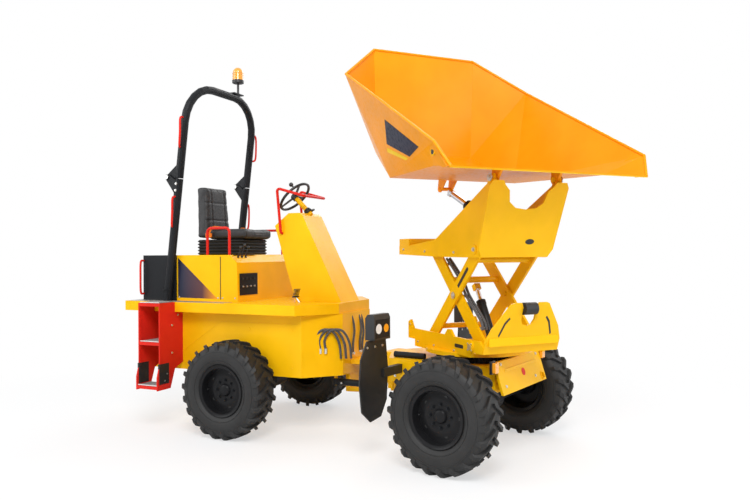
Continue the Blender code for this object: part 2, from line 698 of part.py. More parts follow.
def clevis(name, parent, place, ear):
    """Two ears and the pin that a cylinder's knuckle turns on."""
    x, z = place
    pin = rod((x, -CYL_EAR[1] - 0.004, z), (x, CYL_EAR[1] + 0.004, z), CYL_PIN_R, 16)
    tools = [add(name + "_pin", pin, parent)]
    for label, side in (("right", -1), ("left", 1)):
        tools.append(add(name + "_ear_" + label, prism(ear, *span(side, *CYL_EAR), "XZ"), parent))
    return tools


def arm_outline(x0, x1, h):
    return arc(x1, 0.0, h / 2, -90, 90, 6) + arc(x0, 0.0, h / 2, 90, 270, 6)


def make_inner_arms(line):
    """Local X runs from the upper rear end at -ARM_L to the lower front pin at 0."""
    plates = []
    for label, s in (("right", -1), ("left", 1)):
        lo, hi = s * INNER_Y - ARM_T / 2, s * INNER_Y + ARM_T / 2
        plates.append(prism(arm_outline(-ARM_L, 0.0, ARM_H), lo, hi, "XZ"))
    arms = add("inner_arms", plates[0], line, "paint")
    tools = [add("inner_plate_left", plates[1], line)]
    reach = INNER_Y
    eye = -ARM_L * LIFT_EYE
    for label, x, r in (("foot", 0.0, 0.034), ("eye", eye, 0.026)):
        tools.append(add("inner_tube_" + label, rod((x, -reach, 0), (x, reach, 0), r, 16), line))
    for label, s in (("right", -1), ("left", 1)):
        lo, hi = span(s, INNER_Y, UPPER_Y - UPPER_T / 2 - RUN)
        tools.append(add("inner_slide_" + label, rod((-ARM_L, lo, 0), (-ARM_L, hi, 0), ARM_PIN_R, 16), line))
    holes = [add("inner_pin_hole", rod((0, -0.3, 0), (0, 0.3, 0), ARM_PIN_R + 0.001, 20), line),
             add("inner_mid_hole", rod((-ARM_L / 2, -0.3, 0), (-ARM_L / 2, 0.3, 0), ARM_PIN_R + 0.001, 20),
                 line)]
    join(arms, *tools)
    return smooth(cut(arms, *holes), 30)


def make_outer_arms(line):
    """Local X runs from the lower rear end at -ARM_L / 2 to the upper front pin."""
    half = ARM_L / 2
    plates = []
    for s in (-1, 1):
        lo, hi = s * OUTER_Y - ARM_T / 2, s * OUTER_Y + ARM_T / 2
        plates.append(prism(arm_outline(-half, half, ARM_H), lo, hi, "XZ"))
    arms = add("outer_arms", plates[0], line, "paint")
    tools = [add("outer_plate_left", plates[1], line)]
    reach = OUTER_Y
    for label, x, r in (("low", -0.38, 0.022), ("high", 0.40, 0.024)):
        tools.append(add("outer_tube_" + label, rod((x, -reach, 0), (x, reach, 0), r, 16), line))
    for label, s in (("right", -1), ("left", 1)):
        lo, hi = span(s, INNER_Y - ARM_T / 2 - 0.012, OUTER_Y + ARM_T / 2 + 0.004)
        tools.append(add("mid_pin_" + label, rod((0, lo, 0), (0, hi, 0), ARM_PIN_R, 16), line))
        lo, hi = span(s, OUTER_Y, RAIL_W / 2 - RAIL_T - 0.007)
        tools.append(add("outer_slide_" + label, rod((-half, lo, 0), (-half, hi, 0), ARM_PIN_R, 16), line))
    hole = add("outer_pin_hole", rod((half, -0.3, 0), (half, 0.3, 0), ARM_PIN_R + 0.001, 20), line)
    join(arms, *tools)
    return smooth(cut(arms, hole), 30)


def make_upper_frame(head):
    """Origin on the outer arms' upper pin; X forward."""
    half = UPPER_Y + UPPER_T / 2
    hx, hz = HINGE_DX, HINGE_DZ
    low = -0.062
    toe = ARM_H / 2 + 0.028
    lean = (hx + 0.047 - toe) / (hz - 0.055 - low)
    side = [(-1.27, -0.035), (-1.27, 0.04), (-1.04, 0.045), (-0.60, 0.085), (hx - 0.055, hz - 0.04),
            (hx - 0.03, hz + 0.025), (hx + 0.027, hz + 0.025), (hx + 0.047, hz - 0.055), (toe, low),
            (-0.60, low + 0.007)]
    body = add("upper_frame", prism(side, *span(-1, half - UPPER_T, half), "XZ"), head, "paint")
    tools = [add("upper_plate_left", prism(side, *span(1, half - UPPER_T, half), "XZ"), head)]
    wide = half + 0.035
    ear = 0.215
    shape_half = [(half - 0.002, low + 0.002), (wide, 0.0), (wide + 0.015, 0.45), (wide - 0.01, 0.488),
                  (ear + 0.02, 0.488), (ear, 0.458), (0.17, 0.42), (0.15, 0.34), (0.09, 0.30)]
    shape = shape_half + [(0.0, 0.29)] + [(-y, z) for y, z in reversed(shape_half)]
    plate = prism(shape, 0.0, 0.02, "YZ")
    for vert in plate.verts:
        vert.co.x += toe - 0.008 + (vert.co.z - low) * lean
    tools.append(add("upper_front_plate", plate, head))
    pin = rod((0, -half + 0.004, 0), (0, half - 0.004, 0), ARM_PIN_R, 20)
    tools.append(add("upper_arm_pin", pin, head))
    rest = block(-1.269, -1.08, -half + 0.002, half - 0.002, -0.036, REST_TOP)
    tools.append(add("rest_block", rest, head))
    for label, s in (("right", -1), ("left", 1)):
        lo, hi = span(s, half - UPPER_T - 0.03, UPPER_Y)
        z0 = ARM_PIN_R + SLIDE_GAP
        tools.append(add("upper_ledge_" + label, block(-1.085, -0.62, lo, hi, z0, z0 + 0.02), head))
        lo, hi = span(s, UPPER_Y - 0.047, half + 0.012)
        tools.append(add("hinge_pin_" + label, rod((hx, lo, hz), (hx, hi, hz), HINGE_R, 20), head))
    cross_z = ARM_H / 2 + RUN
    cross = block(-0.03, toe + 0.05, -half + 0.005, half - 0.005, cross_z, cross_z + 0.018)
    tools.append(add("tip_cross", cross, head))
    fx, fz = TIP_FOOT
    ear = [(fx - 0.025, cross_z + 0.008), (fx + 0.07, cross_z + 0.008), (fx + 0.07, cross_z + 0.04),
           (fx + 0.03, fz + 0.03), (fx - 0.025, fz + 0.03)]
    return join(body, *tools, *clevis("tip", head, TIP_FOOT, ear))


# ---------------------------------------------------------------- skip
# Outside of the skip when level, from its hinge: X, half width, Z.
SKIP_LIP = (0.30, 0.833, 0.170)
SKIP_RIM = (
    (0.14, 0.905, 0.277),
    (-1.55, 0.925, 0.277),
    (-1.98, 0.524, 0.429),
)
SKIP_FLOOR = (
    (-0.04, 0.760, 0.045),
    (-0.93, 0.620, -0.400),
    (-1.55, 0.500, -0.405),
)
REST_TOP = HINGE_DZ - 0.405 - RUN


def make_skip(tip):
    bm = bmesh.new()

    def both(points):
        return [[bm.verts.new((x, s * y, z)) for x, y, z in points] for s in (-1, 1)]

    lips = both([SKIP_LIP])
    rims = both(SKIP_RIM)
    floors = both(SKIP_FLOOR)
    for (lip,), (front, corner, rear), (f0, f1, f2) in zip(lips, rims, floors):
        for face in ((lip, front, f0), (front, f1, f0), (front, corner, f1), (corner, f2, f1),
                     (corner, rear, f2)):
            bm.faces.new(face)
    right, left = floors
    for i in (0, 1):
        bm.faces.new([right[i], left[i], left[i + 1], right[i + 1]])
    bm.faces.new([lips[0][0], lips[1][0], left[0], right[0]])
    bm.faces.new([right[2], left[2], rims[1][2], rims[0][2]])
    skin = add("skip", bm, tip, "paint")
    plate = skin.modifiers.new("plate", "SOLIDIFY")
    plate.thickness = SKIP_T
    plate.offset = -1.0
    plate.use_even_offset = True
    tools = []
    holes = []
    lug = [(0.055, 0.0835), (-0.055, 0.0405)] + arc(0.0, 0.0, 0.036, 200, 340, 6)
    ex, ez = TIP_EYE
    z_in = SKIP_FLOOR[1][2] + SKIP_T / 2 - 0.002
    eye_lug = [(ex + 0.07, z_in), (ex - 0.07, z_in)] + arc(ex, ez, 0.030, 200, 340, 5)
    for label, s in (("right", -1), ("left", 1)):
        lo, hi = span(s, UPPER_Y - UPPER_T / 2 - RUN - 0.018, UPPER_Y - UPPER_T / 2 - RUN)
        tools.append(add("skip_lug_" + label, prism(lug, lo, hi, "XZ"), tip))
        bore = rod((0, lo - 0.01, 0), (0, hi + 0.01, 0), HINGE_R + 0.001, 20)
        holes.append(add("skip_lug_hole_" + label, bore, tip))
        tools.append(add("skip_eye_lug_" + label, prism(eye_lug, *span(s, *CYL_EAR), "XZ"), tip))
    pin = rod((ex, -CYL_EAR[1] - 0.004, ez), (ex, CYL_EAR[1] + 0.004, ez), CYL_PIN_R, 16)
    tools.append(add("skip_eye_pin", pin, tip))
    return cut(join(skin, *tools), *holes)


# ---------------------------------------------------------------- cylinders
def make_cylinder(name, parent, foot, eye):
    """Barrel hinged at its foot and rod sliding in it, in the XZ plane of parent."""
    length, bore, stem, inner_end, shy = CYLINDERS[name]
    dx, dz = eye[0] - foot[0], eye[1] - foot[1]
    turn = -math.degrees(math.atan2(dz, dx))
    place = frame(name + "_foot", parent, (foot[0], 0.0, foot[1]), "Y", turn)
    shoulder, bottom = 0.045, 0.10
    section = [(shoulder, bore), (length, bore), (length, stem + 0.001), (bottom, stem + 0.001),
               (bottom, 0.0),
               (shoulder, 0.0)]
    body = lathe(section, 20)
    bmesh.ops.rotate(body, verts=body.verts, cent=(0, 0, 0), matrix=Matrix.Rotation(-math.pi / 2, 3, "Z"))
    shell = add(name + "_barrel", body, place, "charcoal")
    half = CYL_HALF
    knuckle = rod((0, -half, 0), (0, half, 0), 0.030, 16)
    neck = block(0.0, shoulder + 0.01, -half + 0.002, half - 0.002, -0.02, 0.02)
    hole = rod((0, -half - 0.01, 0), (0, half + 0.01, 0), CYL_PIN_R + 0.001, 16)
    join(shell, add(name + "_knuckle", knuckle, place), add(name + "_neck", neck, place))
    smooth(cut(shell, add(name + "_hole", hole, place)))
    end = math.hypot(dx, dz) - shy
    piston = add(name + "_rod", rod((inner_end, 0, 0), (end - 0.03, 0, 0), stem, 16), place, "chrome")
    head = block(end - 0.05, end, -0.026, 0.026, -0.024, 0.024)
    smooth(join(piston, add(name + "_head", head, place)))


# ---------------------------------------------------------------- assembly
def centre_on_floor(root):
    """Put the origin at the middle of the machine's own box, on the floor."""
    bpy.context.view_layer.update()
    graph = bpy.context.evaluated_depsgraph_get()
    low = Vector((math.inf, math.inf))
    high = -low
    for obj in bpy.data.objects:
        if obj.type != "MESH" or obj.hide_render:
            continue
        for vert in obj.evaluated_get(graph).data.vertices:
            place = (obj.matrix_world @ vert.co).to_2d()
            low = Vector(map(min, low, place))
            high = Vector(map(max, high, place))
    middle = (low + high) / 2
    root.location = (-middle.x, -middle.y, 0.0)


def main():
    clear_scene()
    rear = frame("rear_frame")
    make_rear_chassis(rear)
    make_deck(rear)
    make_engine(rear)
    make_seat_box(rear)
    make_rops_base(rear)
    _, fold = make_rops_hoop(rear)
    make_beacon(fold)
    make_seat(rear)
    make_console(rear)
    make_steering_wheel(rear)
    make_guard_rail(rear)
    make_seat_rails(rear)
    make_ladders(rear)
    make_axle("rear_axle", rear, -AXLE_X, BODY_Z0, 0.38)
    make_wheel("rear_right", -1, rear, -AXLE_X)
    make_wheel("rear_left", 1, rear, -AXLE_X)

    front = frame("artic_axis", rear, (0, 0, 0), "Z", ARTIC)
    make_pivot_block(front)
    roll = frame("roll_axis", front, (0.0, 0.0, PIVOT_Z))
    make_front_chassis(roll)
    make_mudguards(roll)
    make_slew_ring(roll)
    level = frame("front_level", roll, (0.0, 0.0, -PIVOT_Z))
    make_axle("front_axle", level, AXLE_X, FRAME_Z0, FRAME_W / 2 - 0.025)
    make_wheel("front_right", -1, level, AXLE_X)
    make_wheel("front_left", 1, level, AXLE_X)

    swivel = frame("swivel_axis", level, (SLEW_X, 0.0, 0.0), "Z", SWIVEL)
    make_table(swivel)
    lift = frame("lift_axis", swivel, (ARM_PIN_X, 0.0, ARM_PIN_Z), "Y", LIFT)
    make_inner_arms(lift)
    cross = frame("cross_axis", lift, (-ARM_L / 2, 0.0, 0.0), "Y", -2 * LIFT)
    make_outer_arms(cross)
    head = frame("head_axis", cross, (ARM_L / 2, 0.0, 0.0), "Y", LIFT)
    make_upper_frame(head)
    tip = frame("tip_axis", head, (HINGE_DX, 0.0, HINGE_DZ), "Y", TIP)
    make_skip(tip)

    arm = Vector((-ARM_L * LIFT_EYE, 0.0, 0.0))
    arm.rotate(Matrix.Rotation(math.radians(LIFT), 3, "Y"))
    make_cylinder("lift", swivel, LIFT_FOOT, (ARM_PIN_X + arm.x, ARM_PIN_Z + arm.z))
    eye = Vector((TIP_EYE[0], 0.0, TIP_EYE[1]))
    eye.rotate(Matrix.Rotation(math.radians(TIP), 3, "Y"))
    make_cylinder("tip", head, TIP_FOOT, (HINGE_DX + eye.x, HINGE_DZ + eye.z))
    flat = frame("steer_plane", rear, (0.0, 0.0, STEER_Z), "X", -90.0)
    eye = Vector((*STEER_EYE, 0.0))
    eye.rotate(Matrix.Rotation(math.radians(ARTIC), 3, "Z"))
    make_cylinder("steer", flat, STEER_FOOT, (eye.x, eye.y))
    centre_on_floor(rear)


main()
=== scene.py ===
"""Looks of the site dumper: finishes, tyres, seat, small fittings, light and camera."""
import json
import math

import bmesh
import bpy
from mathutils import Matrix, Vector


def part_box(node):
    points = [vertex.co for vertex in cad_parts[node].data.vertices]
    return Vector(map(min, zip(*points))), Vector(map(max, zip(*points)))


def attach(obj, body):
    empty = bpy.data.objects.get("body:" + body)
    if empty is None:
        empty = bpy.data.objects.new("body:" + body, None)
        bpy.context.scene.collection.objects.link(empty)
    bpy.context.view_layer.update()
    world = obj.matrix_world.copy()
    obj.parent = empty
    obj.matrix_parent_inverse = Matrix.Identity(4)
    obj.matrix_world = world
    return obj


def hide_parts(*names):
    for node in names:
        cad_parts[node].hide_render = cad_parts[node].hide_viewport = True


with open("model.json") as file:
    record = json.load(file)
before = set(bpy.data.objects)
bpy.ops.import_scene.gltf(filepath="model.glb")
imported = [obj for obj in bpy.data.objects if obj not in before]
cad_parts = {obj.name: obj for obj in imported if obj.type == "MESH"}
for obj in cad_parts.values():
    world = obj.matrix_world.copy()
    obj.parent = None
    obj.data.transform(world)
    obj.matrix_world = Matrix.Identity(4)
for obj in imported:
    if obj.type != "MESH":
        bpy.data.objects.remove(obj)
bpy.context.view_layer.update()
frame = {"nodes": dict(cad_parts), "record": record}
RECORD = frame["record"]
JOINTS = {j["name"]: j for j in RECORD["behaviour"]["joints"]}

SIDES = (("right", -1), ("left", 1))

# sizes that the fittings share, in metres from the articulation pin or the floor
DECK_Z = 1.1603         # deck's top
BOX_TOP = 1.5906        # seat box's top
BOX_Y = 0.4903          # seat box's side face
TUB_Y = 0.5503          # engine tub's side face
LADDER_X = (-1.9905, -1.7395)   # outer faces of a ladder's two plates
FOLD_PIN = (-1.90, 2.326)       # roll bar's fold, X and Z
HOOP_Y = 0.535          # roll bar's legs
HANDLE_R = 0.010
HOSE_R = 0.011
FRAME_Y = 0.4003        # front chassis's side face
NOSE_X = 1.355          # front chassis's nose plate, at its top
NOSE_TOP = 0.78         # and the height there
RAIL_Y = 0.3352         # slewing table's side rails
UPPER_Y = 0.2972        # upper frame's side plates
OUTER_Y = 0.2672        # outer arms' plates


# ---------------------------------------------------------------- frames of reference
def basis(origin, forward, left):
    """Matrix whose X runs forward and Y to the left of a unit."""
    x = Vector(forward).normalized()
    y = Vector(left).normalized()
    z = x.cross(y)
    turn = Matrix((x, y, z)).transposed().to_4x4()
    return Matrix.Translation(Vector(origin)) @ turn


PIVOT = Vector(JOINTS["articulation"]["pos_m"])
REAR = Matrix.Translation((PIVOT.x, PIVOT.y, 0.0))
ROLL_AXIS = Vector(JOINTS["oscillation"]["axis"])
FRONT = basis((PIVOT.x, PIVOT.y, 0.0), ROLL_AXIS, Vector((0, 0, 1)).cross(ROLL_AXIS))
SIDE = Vector(JOINTS["lift"]["axis"])
AHEAD = SIDE.cross(Vector((0, 0, 1)))
SLEW = Vector(JOINTS["swivel"]["pos_m"])
TABLE = basis((SLEW.x, SLEW.y, 0.0), AHEAD, SIDE)
HEAD = basis(JOINTS["upper_frame_hinge"]["pos_m"], AHEAD, SIDE)
TIP_DEG = 28.0
LIFT_DEG = 45.0


def leaned(joint, degrees):
    turn = Matrix.Rotation(math.radians(degrees), 4, "Y")
    return basis(JOINTS[joint]["pos_m"], AHEAD, SIDE) @ turn


TIP = leaned("tip", TIP_DEG)
INNER = leaned("lift", LIFT_DEG)
OUTER = leaned("scissor_cross", -LIFT_DEG)


# ---------------------------------------------------------------- finishes
def new_finish(name, colour, roughness, metallic=0.0):
    mat = bpy.data.materials.new(name)
    mat.use_nodes = True
    shader = mat.node_tree.nodes["Principled BSDF"]
    shader.inputs["Base Color"].default_value = (*colour, 1.0)
    shader.inputs["Roughness"].default_value = roughness
    shader.inputs["Metallic"].default_value = metallic
    return mat, mat.node_tree, shader


def texture_of(tree, kind, **settings):
    """A procedural texture that follows the object's own space."""
    place = tree.nodes.new("ShaderNodeTexCoord")
    texture = tree.nodes.new("ShaderNodeTex" + kind)
    for name, value in settings.items():
        texture.inputs[name].default_value = value
    tree.links.new(place.outputs["Object"], texture.inputs["Vector"])
    return texture


def noise_of(tree, scale, detail=4.0):
    return texture_of(tree, "Noise", Scale=scale, Detail=detail).outputs["Fac"]


def ramp_to(tree, socket, source, stops):
    """Colour ramp over (position, colour) stops, from a texture into a shader's socket."""
    ramp = tree.nodes.new("ShaderNodeValToRGB")
    first, last = ramp.color_ramp.elements
    first.position, last.position = stops[0][0], stops[-1][0]
    first.color, last.color = (*stops[0][1], 1.0), (*stops[-1][1], 1.0)
    for position, colour in stops[1:-1]:
        ramp.color_ramp.elements.new(position).color = (*colour, 1.0)
    tree.links.new(source, ramp.inputs["Fac"])
    tree.links.new(ramp.outputs["Color"], socket)


def bump_of(tree, shader, source, strength, distance):
    bump = tree.nodes.new("ShaderNodeBump")
    bump.inputs["Strength"].default_value = strength
    bump.inputs["Distance"].default_value = distance
    tree.links.new(source, bump.inputs["Height"])
    tree.links.new(bump.outputs["Normal"], shader.inputs["Normal"])


def enamel(name, colour, roughness=0.28):
    """Sprayed enamel: faint orange peel, slightly uneven colour, duller where it is scuffed."""
    mat, tree, shader = new_finish(name, colour, roughness)
    dark = tuple(c * 0.90 for c in colour)
    light = tuple(min(1.0, c * 1.05 + 0.004) for c in colour)
    ramp_to(tree, shader.inputs["Base Color"], noise_of(tree, 2.3, 6.0), [(0.32, dark), (0.68, light)])
    glossy, dull = (roughness,) * 3, (min(1.0, roughness + 0.26),) * 3
    ramp_to(tree, shader.inputs["Roughness"], noise_of(tree, 38.0, 8.0), [(0.45, glossy), (0.80, dull)])
    bump_of(tree, shader, noise_of(tree, 420.0, 2.0), 0.10, 0.0006)
    shader.inputs["Specular IOR Level"].default_value = 0.14
    shader.inputs["Coat Weight"].default_value = 0.03
    shader.inputs["Coat Roughness"].default_value = 0.10
    return mat


def rubber(name, colour, roughness=0.78):
    mat, tree, shader = new_finish(name, colour, roughness)
    faded = tuple(c * 1.7 + 0.003 for c in colour)
    ramp_to(tree, shader.inputs["Base Color"], noise_of(tree, 9.0, 8.0), [(0.3, colour), (0.75, faded)])
    bump_of(tree, shader, noise_of(tree, 260.0), 0.35, 0.0012)
    return mat


def metal(name, colour, roughness):
    mat, tree, shader = new_finish(name, colour, roughness, 1.0)
    glossy, dull = (roughness,) * 3, (roughness + 0.22,) * 3
    ramp_to(tree, shader.inputs["Roughness"], noise_of(tree, 70.0, 6.0), [(0.35, glossy), (0.8, dull)])
    return mat


def lens(name, colour):
    mat, tree, shader = new_finish(name, colour, 0.08)
    bump_of(tree, shader, noise_of(tree, 90.0, 1.0), 0.25, 0.002)
    shader.inputs["Coat Weight"].default_value = 1.0
    shader.inputs["Coat Roughness"].default_value = 0.03
    return mat


def vinyl(name, colour):
    mat, tree, shader = new_finish(name, colour, 0.52)
    cells = texture_of(tree, "Voronoi", Scale=330.0)
    bump_of(tree, shader, cells.outputs["Distance"], 0.45, 0.0010)
    soiled = tuple(c * 1.6 + 0.003 for c in colour)
    ramp_to(tree, shader.inputs["Base Color"], noise_of(tree, 14.0, 6.0), [(0.3, colour), (0.8, soiled)])
    return mat


def braid(name):
    mat, tree, shader = new_finish(name, (0.03, 0.03, 0.032), 0.55)
    wave = texture_of(tree, "Wave", Scale=90.0, Distortion=1.5).outputs["Fac"]
    ramp_to(tree, shader.inputs["Base Color"], wave, [(0.2, (0.02, 0.02, 0.02)), (0.8, (0.12, 0.12, 0.125))])
    bump_of(tree, shader, wave, 0.6, 0.001)
    return mat


YELLOW = enamel("golden_enamel", (0.94, 0.51, 0.001))
# painted shade: the skip's enamel is the body's yellow made darker and more orange, standing in for the shade
# the skip sits in
SKIP_PAINTED_SHADE = enamel("skip_enamel_painted_shade", (0.94, 0.345, 0.001))
BRIGHT = enamel("bright_lip_enamel", (0.92, 0.62, 0.004), 0.32)
RED = enamel("red_enamel", (0.70, 0.020, 0.010), 0.33)
CHARCOAL = enamel("charcoal_enamel", (0.010, 0.011, 0.013), 0.36)
WHEEL_BLACK = enamel("wheel_enamel", (0.008, 0.008, 0.009), 0.30)
NAVY = enamel("navy_panel", (0.012, 0.016, 0.040), 0.34)
TYRE = rubber("tyre_rubber_worn", (0.006, 0.006, 0.006), 0.62)
RUBBER = rubber("moulded_rubber", (0.008, 0.008, 0.008), 0.55)
PLASTIC = rubber("moulded_plastic", (0.010, 0.010, 0.011), 0.42)
GRIP = rubber("tread_grip", (0.22, 0.22, 0.21), 0.82)
WHITE_EDGE = enamel("white_edge", (0.80, 0.80, 0.78), 0.40)
STEEL = metal("zinc_steel", (0.62, 0.62, 0.60), 0.34)
CHROME = metal("ram_chrome", (0.80, 0.80, 0.82), 0.10)
PLATE_STEEL = metal("tread_plate_steel", (0.46, 0.46, 0.45), 0.42)
VINYL = vinyl("seat_vinyl_grained", (0.010, 0.010, 0.011))
BELT = enamel("orange_webbing", (0.85, 0.22, 0.02), 0.7)
AMBER = lens("amber_glass", (0.95, 0.38, 0.02))
CLEAR = lens("clear_glass", (0.85, 0.87, 0.88))
BRAID = braid("hose_braid")

SLOTS = {
    "yellow_paint": YELLOW, "red_paint": RED, "charcoal_metal": CHARCOAL, "tyre_rubber": TYRE,
    "black_rubber": RUBBER, "seat_vinyl": VINYL, "chrome_rod": CHROME, "amber_lens": AMBER,
    "black_plastic": PLASTIC,
}


def paint_cad():
    for entry in RECORD["subparts"]:
        obj = frame["nodes"][entry["node"]]
        obj.data.materials.clear()
        # the skip, with its rim bead and gussets, takes the painted-shade copy of the yellow paint
        obj.data.materials.append(SKIP_PAINTED_SHADE if entry["node"] == "skip" else SLOTS[entry["material_slot"]])


# ---------------------------------------------------------------- shapes
def put(name, bm, place, mat, body, smooth=None, bevel=None):
    """Finish a bmesh as a piece that rides on a body."""
    bmesh.ops.recalc_face_normals(bm, faces=bm.faces)
    mesh = bpy.data.meshes.new(name)
    bm.to_mesh(mesh)
    bm.free()
    mesh.transform(place)
    obj = bpy.data.objects.new(name, mesh)
    bpy.context.scene.collection.objects.link(obj)
    for item in mat if isinstance(mat, list) else [mat]:
        mesh.materials.append(item)
    if bevel:
        mod = obj.modifiers.new("edge", "BEVEL")
        mod.width = bevel
        mod.segments = 2
        mod.limit_method = "ANGLE"
        mod.angle_limit = math.radians(40)
    if smooth is not None:
        mesh.shade_smooth()
        mesh.set_sharp_from_angle(angle=math.radians(smooth))
    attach(obj, body)
    return obj


def tag(faces, index):
    for face in faces:
        face.material_index = index


def add_box(bm, low, high, index=0):
    centre = (Vector(low) + Vector(high)) / 2
    size = Vector(high) - Vector(low)
    place = Matrix.Translation(centre) @ Matrix.Diagonal((*size, 1.0))
    made = bmesh.ops.create_cube(bm, size=1.0, matrix=place)
    tag({f for v in made["verts"] for f in v.link_faces}, index)


def add_bar(bm, start, end, radius, sides=16, index=0, tip=None):
    start, end = Vector(start), Vector(end)
    along = end - start
    turn = Vector((0, 0, 1)).rotation_difference(along).to_matrix().to_4x4()
    made = bmesh.ops.create_cone(bm, cap_ends=True, segments=sides, radius1=radius,
                                 radius2=radius if tip is None else tip, depth=along.length,
                                 matrix=Matrix.Translation((start + end) / 2) @ turn)
    tag({f for v in made["verts"] for f in v.link_faces}, index)


def add_bolt(bm, at, out, size=0.010, index=0):
    """Hexagon head on its washer, standing out of a face."""
    at, out = Vector(at), Vector(out).normalized()
    add_bar(bm, at - out * 0.001, at + out * size * 0.22, size * 1.25, 16, index)
    add_bar(bm, at, at + out * size * 0.85, size, 6, index)


def add_slab(bm, low, high, index=0):
    """Closed slab between two outlines with the same number of points."""
    one = [bm.verts.new(p) for p in low]
    two = [bm.verts.new(p) for p in high]
    faces = [bm.faces.new(one), bm.faces.new(two[::-1])]
    for i, start in enumerate(one):
        j = (i + 1) % len(one)
        faces.append(bm.faces.new([start, one[j], two[j], two[i]]))
    tag(faces, index)
    return one + two


def add_prism(bm, outline, low, high, plane="XZ", index=0):
    place = {
        "XZ": lambda a, b, c: (a, c, b),
        "YZ": lambda a, b, c: (c, a, b),
    }[plane]
    ends = [[place(a, b, c) for a, b in outline] for c in (low, high)]
    return add_slab(bm, *ends, index)


def add_ball(bm, at, radius, around=16, up=10):
    bmesh.ops.create_uvsphere(bm, u_segments=around, v_segments=up, radius=radius,
                              matrix=Matrix.Translation(at))


def ring_of(count):
    """Angles evenly round a circle."""
    return [2 * math.pi * k / count for k in range(count)]


def smooth_route(points, steps=8):
    """Catmull-Rom curve through the points."""
    pts = [Vector(p) for p in points]
    pts = [pts[0] * 2 - pts[1]] + pts + [pts[-1] * 2 - pts[-2]]
    out = []
    for a, b, c, d in zip(pts, pts[1:], pts[2:], pts[3:]):
        for i in range(steps):
            t = i / steps
            out.append(0.5 * (2 * b + (c - a) * t + (2 * a - 5 * b + 4 * c - d) * t ** 2
                              + (3 * b - a - 3 * c + d) * t ** 3))
    out.append(pts[-2])
    return out


def add_tube(bm, route, radius, sides=12, index=0):
    rings = []
    side = None
    for i, point in enumerate(route):
        ahead = route[min(i + 1, len(route) - 1)] - point
        behind = point - route[max(i - 1, 0)]
        along = (ahead.normalized() + behind.normalized()).normalized()
        side = along.orthogonal() if side is None else side - along * side.dot(along)
        side = side.normalized()
        other = along.cross(side)
        rings.append([bm.verts.new(point + (side * math.cos(2 * math.pi * k / sides)
                                            + other * math.sin(2 * math.pi * k / sides)) * radius)
                      for k in range(sides)])
    faces = [bm.faces.new(rings[0]), bm.faces.new(rings[-1])]
    for one, two in zip(rings, rings[1:]):
        for k in range(sides):
            n = (k + 1) % sides
            faces.append(bm.faces.new([one[k], one[n], two[n], two[k]]))
    tag(faces, index)


def add_lathe(bm, profile, segments=64, index=0):
    """Turn (along Y, radius) points, a closed loop, about the Y axis."""
    rings = []
    for along, radius in profile:
        count = 1 if radius < 1e-9 else segments
        rings.append([bm.verts.new((radius * math.cos(2 * math.pi * i / segments), along,
                                    radius * math.sin(2 * math.pi * i / segments))) for i in range(count)])
    faces = []
    for one, two in zip(rings, rings[1:] + rings[:1]):
        if len(one) == 1 and len(two) == 1:
            continue
        for i in range(segments):
            j = (i + 1) % segments
            loop = [one[i % len(one)], one[j % len(one)], two[j % len(two)], two[i % len(two)]]
            faces.append(bm.faces.new(list(dict.fromkeys(loop))))
    tag(faces, index)


# ---------------------------------------------------------------- wheels
TYRE_R = 0.4225
LUGS = 22


def tyre_mesh():
    """Carcass with ribbed sidewalls and two rows of slanted bars."""
    bm = bmesh.new()
    side = [(0.112, 0.2015), (0.112, 0.223), (0.120, 0.232), (0.137, 0.255), (0.1435, 0.285), (0.1435, 0.315),
            (0.139, 0.348), (0.130, 0.374), (0.116, 0.390), (0.085, 0.3985), (0.040, 0.4010)]
    profile = side + [(0.0, 0.4015)] + [(-a, r) for a, r in reversed(side)]
    add_lathe(bm, profile, 96)
    for radius, height in ((0.262, 0.0025), (0.338, 0.0020)):
        for s in (-1, 1):
            along = 0.139 if radius < 0.3 else 0.1405
            add_lathe(bm, [(s * (along - 0.004), radius - 0.004), (s * (along + height), radius - 0.002),
                           (s * (along + height), radius + 0.002), (s * (along - 0.004), radius + 0.004)], 96)
    for i in range(LUGS * 2):
        s = 1 if i % 2 else -1
        start = 2 * math.pi * i / (LUGS * 2)
        rows = []
        steps = 5
        for k in range(steps + 1):
            t = k / steps
            across = s * (0.006 + t * 0.134)
            lean = start + 0.19 * t + 0.03 * t * t
            half = 0.030 + 0.012 * t
            top = TYRE_R - 0.0006 - 0.0035 * t ** 2 - (0.030 if k == steps else 0.0)
            low = (0.398 - 0.010 * t ** 3) if k < steps else 0.352
            rows.append([(across, low, lean - half * 1.12), (across, top, lean - half),
                         (across, top, lean + half), (across, low, lean + half * 1.12)])
        made = [[bm.verts.new((r * math.cos(a), y, r * math.sin(a))) for y, r, a in row] for row in rows]
        for one, two in zip(made, made[1:]):
            for a, b in ((0, 1), (1, 2), (2, 3), (3, 0)):
                bm.faces.new([one[a], one[b], two[b], two[a]])
        bm.faces.new(made[0])
        bm.faces.new(made[-1])
    return bm


